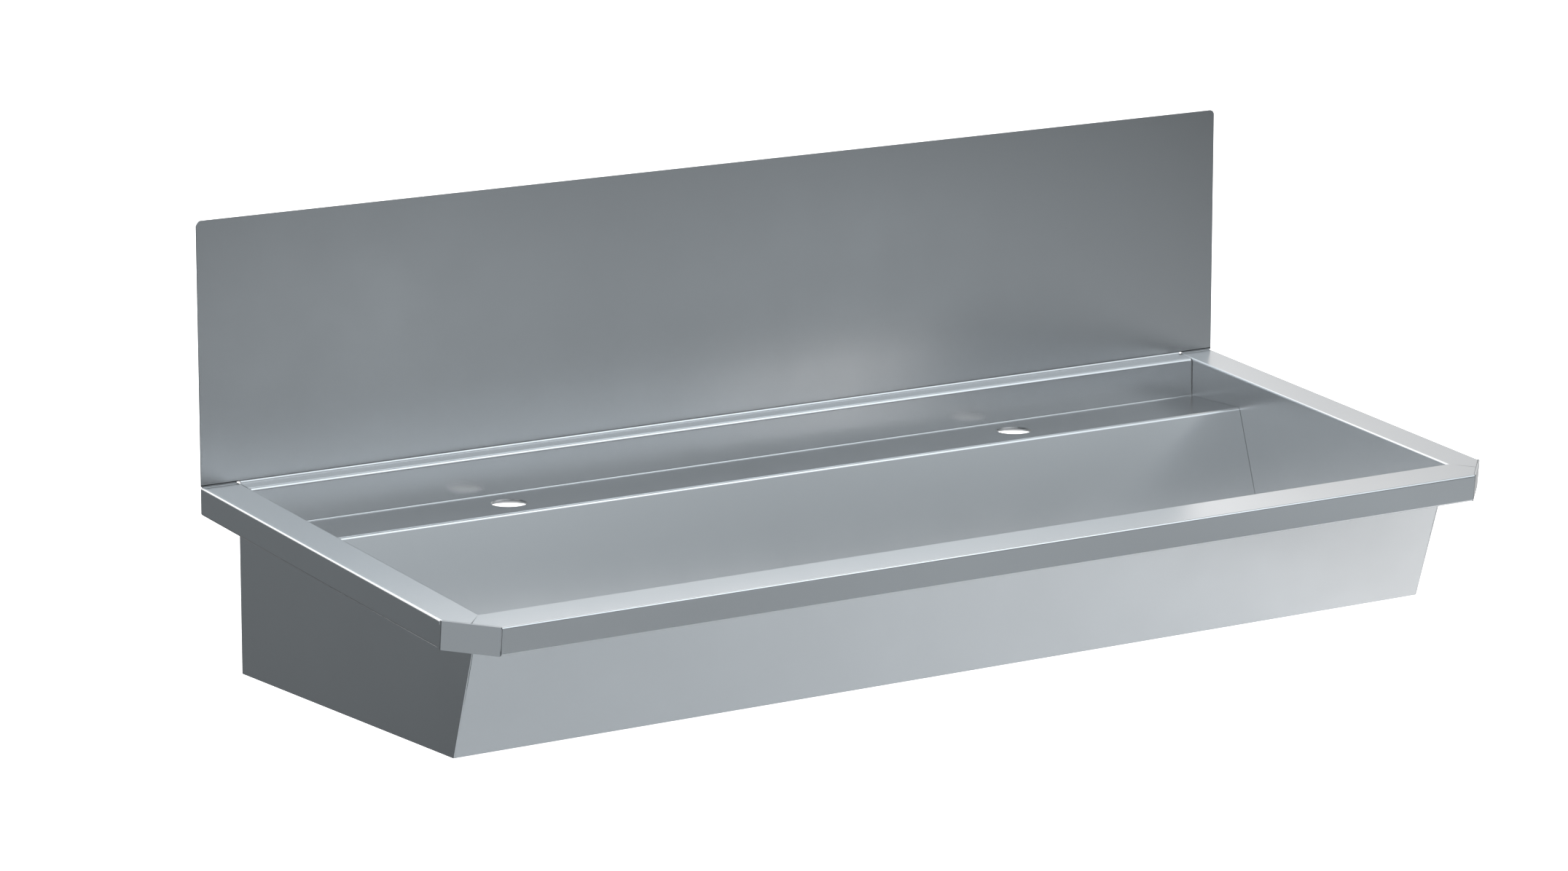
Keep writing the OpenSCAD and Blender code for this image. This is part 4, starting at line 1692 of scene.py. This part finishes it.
@dataclass
class Studio:
    """Pale floor under the hung trough, a tent of light round it, and the camera. Places and
    distances are in metres here, and angles in degrees."""

    floor_z: float = -0.74
    floor_half: float = 30.0
    floor_centre: tuple[float, float, float] = (0.0, -0.2, -0.74)
    right_glow: float = 0.46
    right_reach: float = 2.0
    white_from: tuple[float, float] = (1.22, 1.34)
    spot_centre: tuple[float, float, float] = (0.55, 0.5, -0.74)
    spot_edge: tuple[float, float] = (0.85, 0.5)
    spot_glow: float = 0.3
    plain_from: tuple[float, float] = (0.3, 1.2)
    plain_white: float = 0.2
    camera_azimuth: float = 34.606
    camera_elevation: float = 11.760
    camera_place: tuple[float, float, float] = (-3.3039, -4.8766, 1.3149)
    lens: float = 139.79
    tent_radius: float = 2.3
    tent_foot: float = -0.5
    tent_centre: tuple[float, float, float] = (0.0, -0.2, 0.0)
    ground_cloth: tuple = ((2.1, -0.68), (1.9, -0.72), (1.3, -0.725))
    # Azimuths, elevation, width, strength and colour of each row.
    rows: tuple[SoftboxRow, ...] = (
        # The key at the back left and its fill at the back right: rims and bends.
        SoftboxRow((324.0,), 38.0, 36.0, 1.7, WARM),
        SoftboxRow((36.0,), 38.0, 36.0, 0.6, WARM),
        # Smaller boxes behind the splashback: back wall, splashback's foot and right rim.
        SoftboxRow((10.0, 36.0), 45.0, 18.0, 1.2, WARM),
        SoftboxRow((36.0, 60.0), 24.0, 18.0, 0.7, WARM),
        # Cool boxes all round the front, and one overhead: rear slope, ledge and end walls.
        SoftboxRow((108.0, 252.0), 38.0, 36.0, 0.9, COOL),
        SoftboxRow((144.0, 216.0), 38.0, 36.0, 0.55, COOL),
        SoftboxRow((180.0,), 38.0, 36.0, 0.35, COOL),
        SoftboxRow((150.0,), 64.0, 36.0, 1.0, COOL),
        # Low boxes behind and at the right: backs of the sheets and the right end.
        SoftboxRow((0.0, 30.0, 90.0), -14.0, 36.0, 0.25, WARM),
        SoftboxRow((60.0,), -10.0, 30.0, 0.6, WARM),
        # Low boxes at the left: the cut corner, and the dark left end.
        SoftboxRow((240.0,), -14.0, 36.0, 0.4, COOL),
        SoftboxRow((300.0, 330.0), 0.0, 36.0, 0.12, COOL),
        # A low strip in front: apron and splashback.
        SoftboxRow((131.0, 147.0, 163.0), -7.0, 15.0, 0.3, COOL),
        # On the ground: the leaning front wall.
        SoftboxRow((110.0,), -25.0, 20.0, 0.85, WARM),
        SoftboxRow((135.0, 160.0, 185.0), -25.0, 20.0, 0.3, COOL),
    )

    def camera(self) -> None:
        """Places the camera: seen from the front left and above."""
        azimuth, elevation = math.radians(self.camera_azimuth), math.radians(self.camera_elevation)
        data = bpy.data.cameras.new("camera")
        data.lens, data.sensor_width = self.lens, 36.0
        data.clip_start, data.clip_end = 0.1, 200.0
        camera = bpy.data.objects.new("camera", data)
        bpy.context.scene.collection.objects.link(camera)
        camera.location = self.camera_place
        camera.rotation_euler = (math.pi / 2 - elevation, 0.0, -azimuth)
        bpy.context.scene.camera = camera

    def world(self) -> None:
        """White surroundings outside the tent, which are the picture's background."""
        world = bpy.data.worlds.new("studio")
        bpy.context.scene.world = world
        tree = empty_tree(world)
        light = add_node(tree, "ShaderNodeBackground", {
            "Color": linear("#ffffff"), "Strength": 1.0,
        })
        add_node(tree, "ShaderNodeOutputWorld", links={"Surface": light.outputs[0]})

    def floor(self) -> None:
        """Pale floor that takes the trough's shadow, and turns plain white for the camera
        further out. In the metal it glows a little more towards the right, in a spot behind the
        tap holes, and further out than the ground cloth's inner edge: each share rises smoothly
        with x or with a distance."""
        corners = np.array([(-1, -1), (1, -1), (1, 1), (-1, 1)]) * self.floor_half / MM
        corners = at_height(corners, self.floor_z / MM)
        floor = make_piece("floor", corners, np.array([[0, 1, 2, 3]]), smooth=False)
        material = bpy.data.materials.new("matt_floor_paint")
        tree = empty_tree(material)
        place = add_node(tree, "ShaderNodeTexCoord")
        out, off_spot = (
            add_node(tree, "ShaderNodeVectorMath", {"operation": "DISTANCE", 1: centre},
                     {0: place.outputs["Object"]}).outputs["Value"]
            for centre in (self.floor_centre, self.spot_centre)
        )
        axes = add_node(tree, "ShaderNodeSeparateXYZ", links={"Vector": place.outputs["Object"]})
        spot, right, far, plain = (
            add_node(tree, "ShaderNodeMapRange", {
                "interpolation_type": "SMOOTHSTEP",
                "From Min": low, "From Max": high, "To Max": top,
            }, {"Value": reading}).outputs[0]
            for reading, low, high, top in (
                (off_spot, *self.spot_edge, self.spot_glow),
                (axes.outputs["X"], 0.0, self.right_reach, self.right_glow),
                (out, *self.white_from, 1.0), (out, *self.plain_from, 1.0),
            )
        )

        def joined(operation: str, first: object, second: object) -> bpy.types.NodeSocket:
            """Result of a sum or a choice of two readings.

            Args:
                operation: Name of the operation.
                first: Its first reading.
                second: Its second reading.

            Returns:
                Socket that gives the result.
            """
            return add_node(tree, "ShaderNodeMath", {"operation": operation},
                            {0: first, 1: second}).outputs[0]

        path = add_node(tree, "ShaderNodeLightPath")
        in_metal = joined("ADD", path.outputs["Is Glossy Ray"], path.outputs["Is Transmission Ray"])
        brightest = joined("MAXIMUM", joined("MAXIMUM", spot, right), far)
        metal_glow = joined("MULTIPLY", in_metal, brightest)
        plain = add_node(tree, "ShaderNodeMath", {"operation": "MAXIMUM", 1: self.plain_white},
                         {0: plain}).outputs[0]
        glow = joined("ADD", metal_glow, joined("MULTIPLY", path.outputs["Is Camera Ray"], plain))
        paint = add_node(tree, "ShaderNodeBsdfDiffuse", {"Color": linear("#f2f3f4")})
        lit = add_node(tree, "ShaderNodeEmission", {"Color": linear("#ffffff")},
                       {"Strength": glow})
        both = add_node(tree, "ShaderNodeAddShader", links={0: paint.outputs[0], 1: lit.outputs[0]})
        add_node(tree, "ShaderNodeOutputMaterial", links={"Surface": both.outputs[0]})
        floor.data.materials.append(material)

    def tent(self) -> None:
        """A round tent of light, which the camera looks through: a sphere down to below the
        trough, then a cloth that runs in along the floor. Its brightness in each direction from
        its centre is the sum of the rows' smooth patches."""
        rise = np.linspace(math.pi / 2, math.asin(self.tent_foot / self.tent_radius), 30)
        profile = np.column_stack([np.cos(rise), np.sin(rise)]) * self.tent_radius
        profile[0, 0] = 0.0
        radius, angle, height = revolve([*profile, *self.ground_cloth])
        points = round_grid(radius, angle, height, *self.tent_centre[:2])
        tent = solid_piece("tent", points / MM)
        tent.visible_camera = False
        material = bpy.data.materials.new("tent_cloth")
        tree = empty_tree(material)
        place = add_node(tree, "ShaderNodeTexCoord")
        centred = add_node(tree, "ShaderNodeVectorMath", {
            "operation": "SUBTRACT", 1: self.tent_centre,
        }, {0: place.outputs["Object"]})
        aim = add_node(tree, "ShaderNodeVectorMath", {"operation": "NORMALIZE"},
                       {0: centred.outputs[0]})
        total = None
        for row, direction in ((row, way) for row in self.rows for way in row.directions()):
            near = add_node(tree, "ShaderNodeVectorMath", {
                "operation": "DOT_PRODUCT", 1: direction,
            }, {0: aim.outputs[0]})
            fade = add_node(tree, "ShaderNodeMapRange", {
                "interpolation_type": "SMOOTHSTEP", "From Min": math.cos(math.radians(row.width)),
                "From Max": 1.0, "To Max": row.strength,
            }, {"Value": near.outputs["Value"]})
            patch = add_node(tree, "ShaderNodeEmission", {"Color": linear(row.colour)},
                             {"Strength": fade.outputs[0]})
            total = patch.outputs[0] if total is None else add_node(
                tree, "ShaderNodeAddShader", links={0: total, 1: patch.outputs[0]}
            ).outputs[0]
        add_node(tree, "ShaderNodeOutputMaterial", links={"Surface": total})
        tent.data.materials.append(material)

    def build(self) -> None:
        """Builds the whole studio."""
        self.world()
        self.floor()
        self.tent()
        self.camera()
        bpy.context.scene.view_settings.view_transform = "Standard"


def dress(piece: bpy.types.Object, finish: Finish, *nodes: str) -> None:
    """Gives a new piece its finish and its place in the model.

    Args:
        piece: The piece.
        finish: Finish of its surface.
        nodes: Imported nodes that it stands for.
    """
    material = bpy.data.materials.get(finish.name) or finish.material()
    piece.data.materials.clear()
    piece.data.materials.append(material)
    weigh = piece.modifiers.new("weighted_normals", "WEIGHTED_NORMAL")
    weigh.keep_sharp = True
    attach(piece, "root")
    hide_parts(*nodes)
    mesh = piece.data
    LOG.info("%s: %d points, %d faces", piece.name, len(mesh.vertices), len(mesh.polygons))


def main() -> None:
    logging.basicConfig(level=logging.INFO, format="%(name)s %(message)s")
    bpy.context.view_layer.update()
    end, waste, fixing, under = EndSheet().left(), Waste(), LedgeFixing(), Underside()
    dress(Splashback().build(), LONG_GRAIN, "splashback")
    dress(TapLedge().build(), LONG_GRAIN, "tap_ledge")
    dress(FrontSheet().build(), LONG_GRAIN, "front_sheet")
    dress(BasinFloor().build(), LONG_GRAIN, "basin_floor")
    dress(end.piece("left_end_sheet"), CROSS_GRAIN, "left_end")
    dress(end.mirrored().piece("right_end_sheet"), CROSS_GRAIN, "right_end")
    for name, side in (("left", -1.0), ("right", 1.0)):
        dress(under.tap_plate(f"{name}_tap_plate_rounded", side), MILL_PLATE, f"{name}_tap_plate")
        dress(under.sound_pad(f"{name}_damping_pad", side), BITUMEN, f"{name}_sound_pad")
        dress(softened_copy(f"{name}_bracket", 0.5), MILL_PLATE, f"{name}_bracket")
    dress(softened_copy("earth_tag", 0.25), MILL_PLATE, "earth_tag")
    dress(softened_copy("bracket_pads", 0.3), RUBBER, "bracket_pads")
    dress(fixing.studs(), ZINC_PLATE, "ledge_studs")
    dress(fixing.washers(), ZINC_PLATE, "stud_washers")
    dress(fixing.nuts(), ZINC_PLATE, "stud_nuts")
    dress(waste.body(), CAST_STEEL, "waste_body")
    dress(waste.ring("waste_seal_ring", waste.seal), RUBBER, "waste_seal")
    dress(waste.ring("waste_gasket_ring", waste.gasket), RUBBER, "waste_gasket")
    dress(waste.ring("waste_slip_ring", waste.slip_washer), NYLON, "waste_slip_washer")
    dress(waste.lock_nut(), TURNED_BRASS, "waste_locknut")
    dress(softened_copy("waste_strainer", 0.25), CAST_STEEL, "waste_strainer")
    dress(waste.screw(), CAST_STEEL, "strainer_screw")
    Studio().build()


if __name__ == "__main__":
    main()
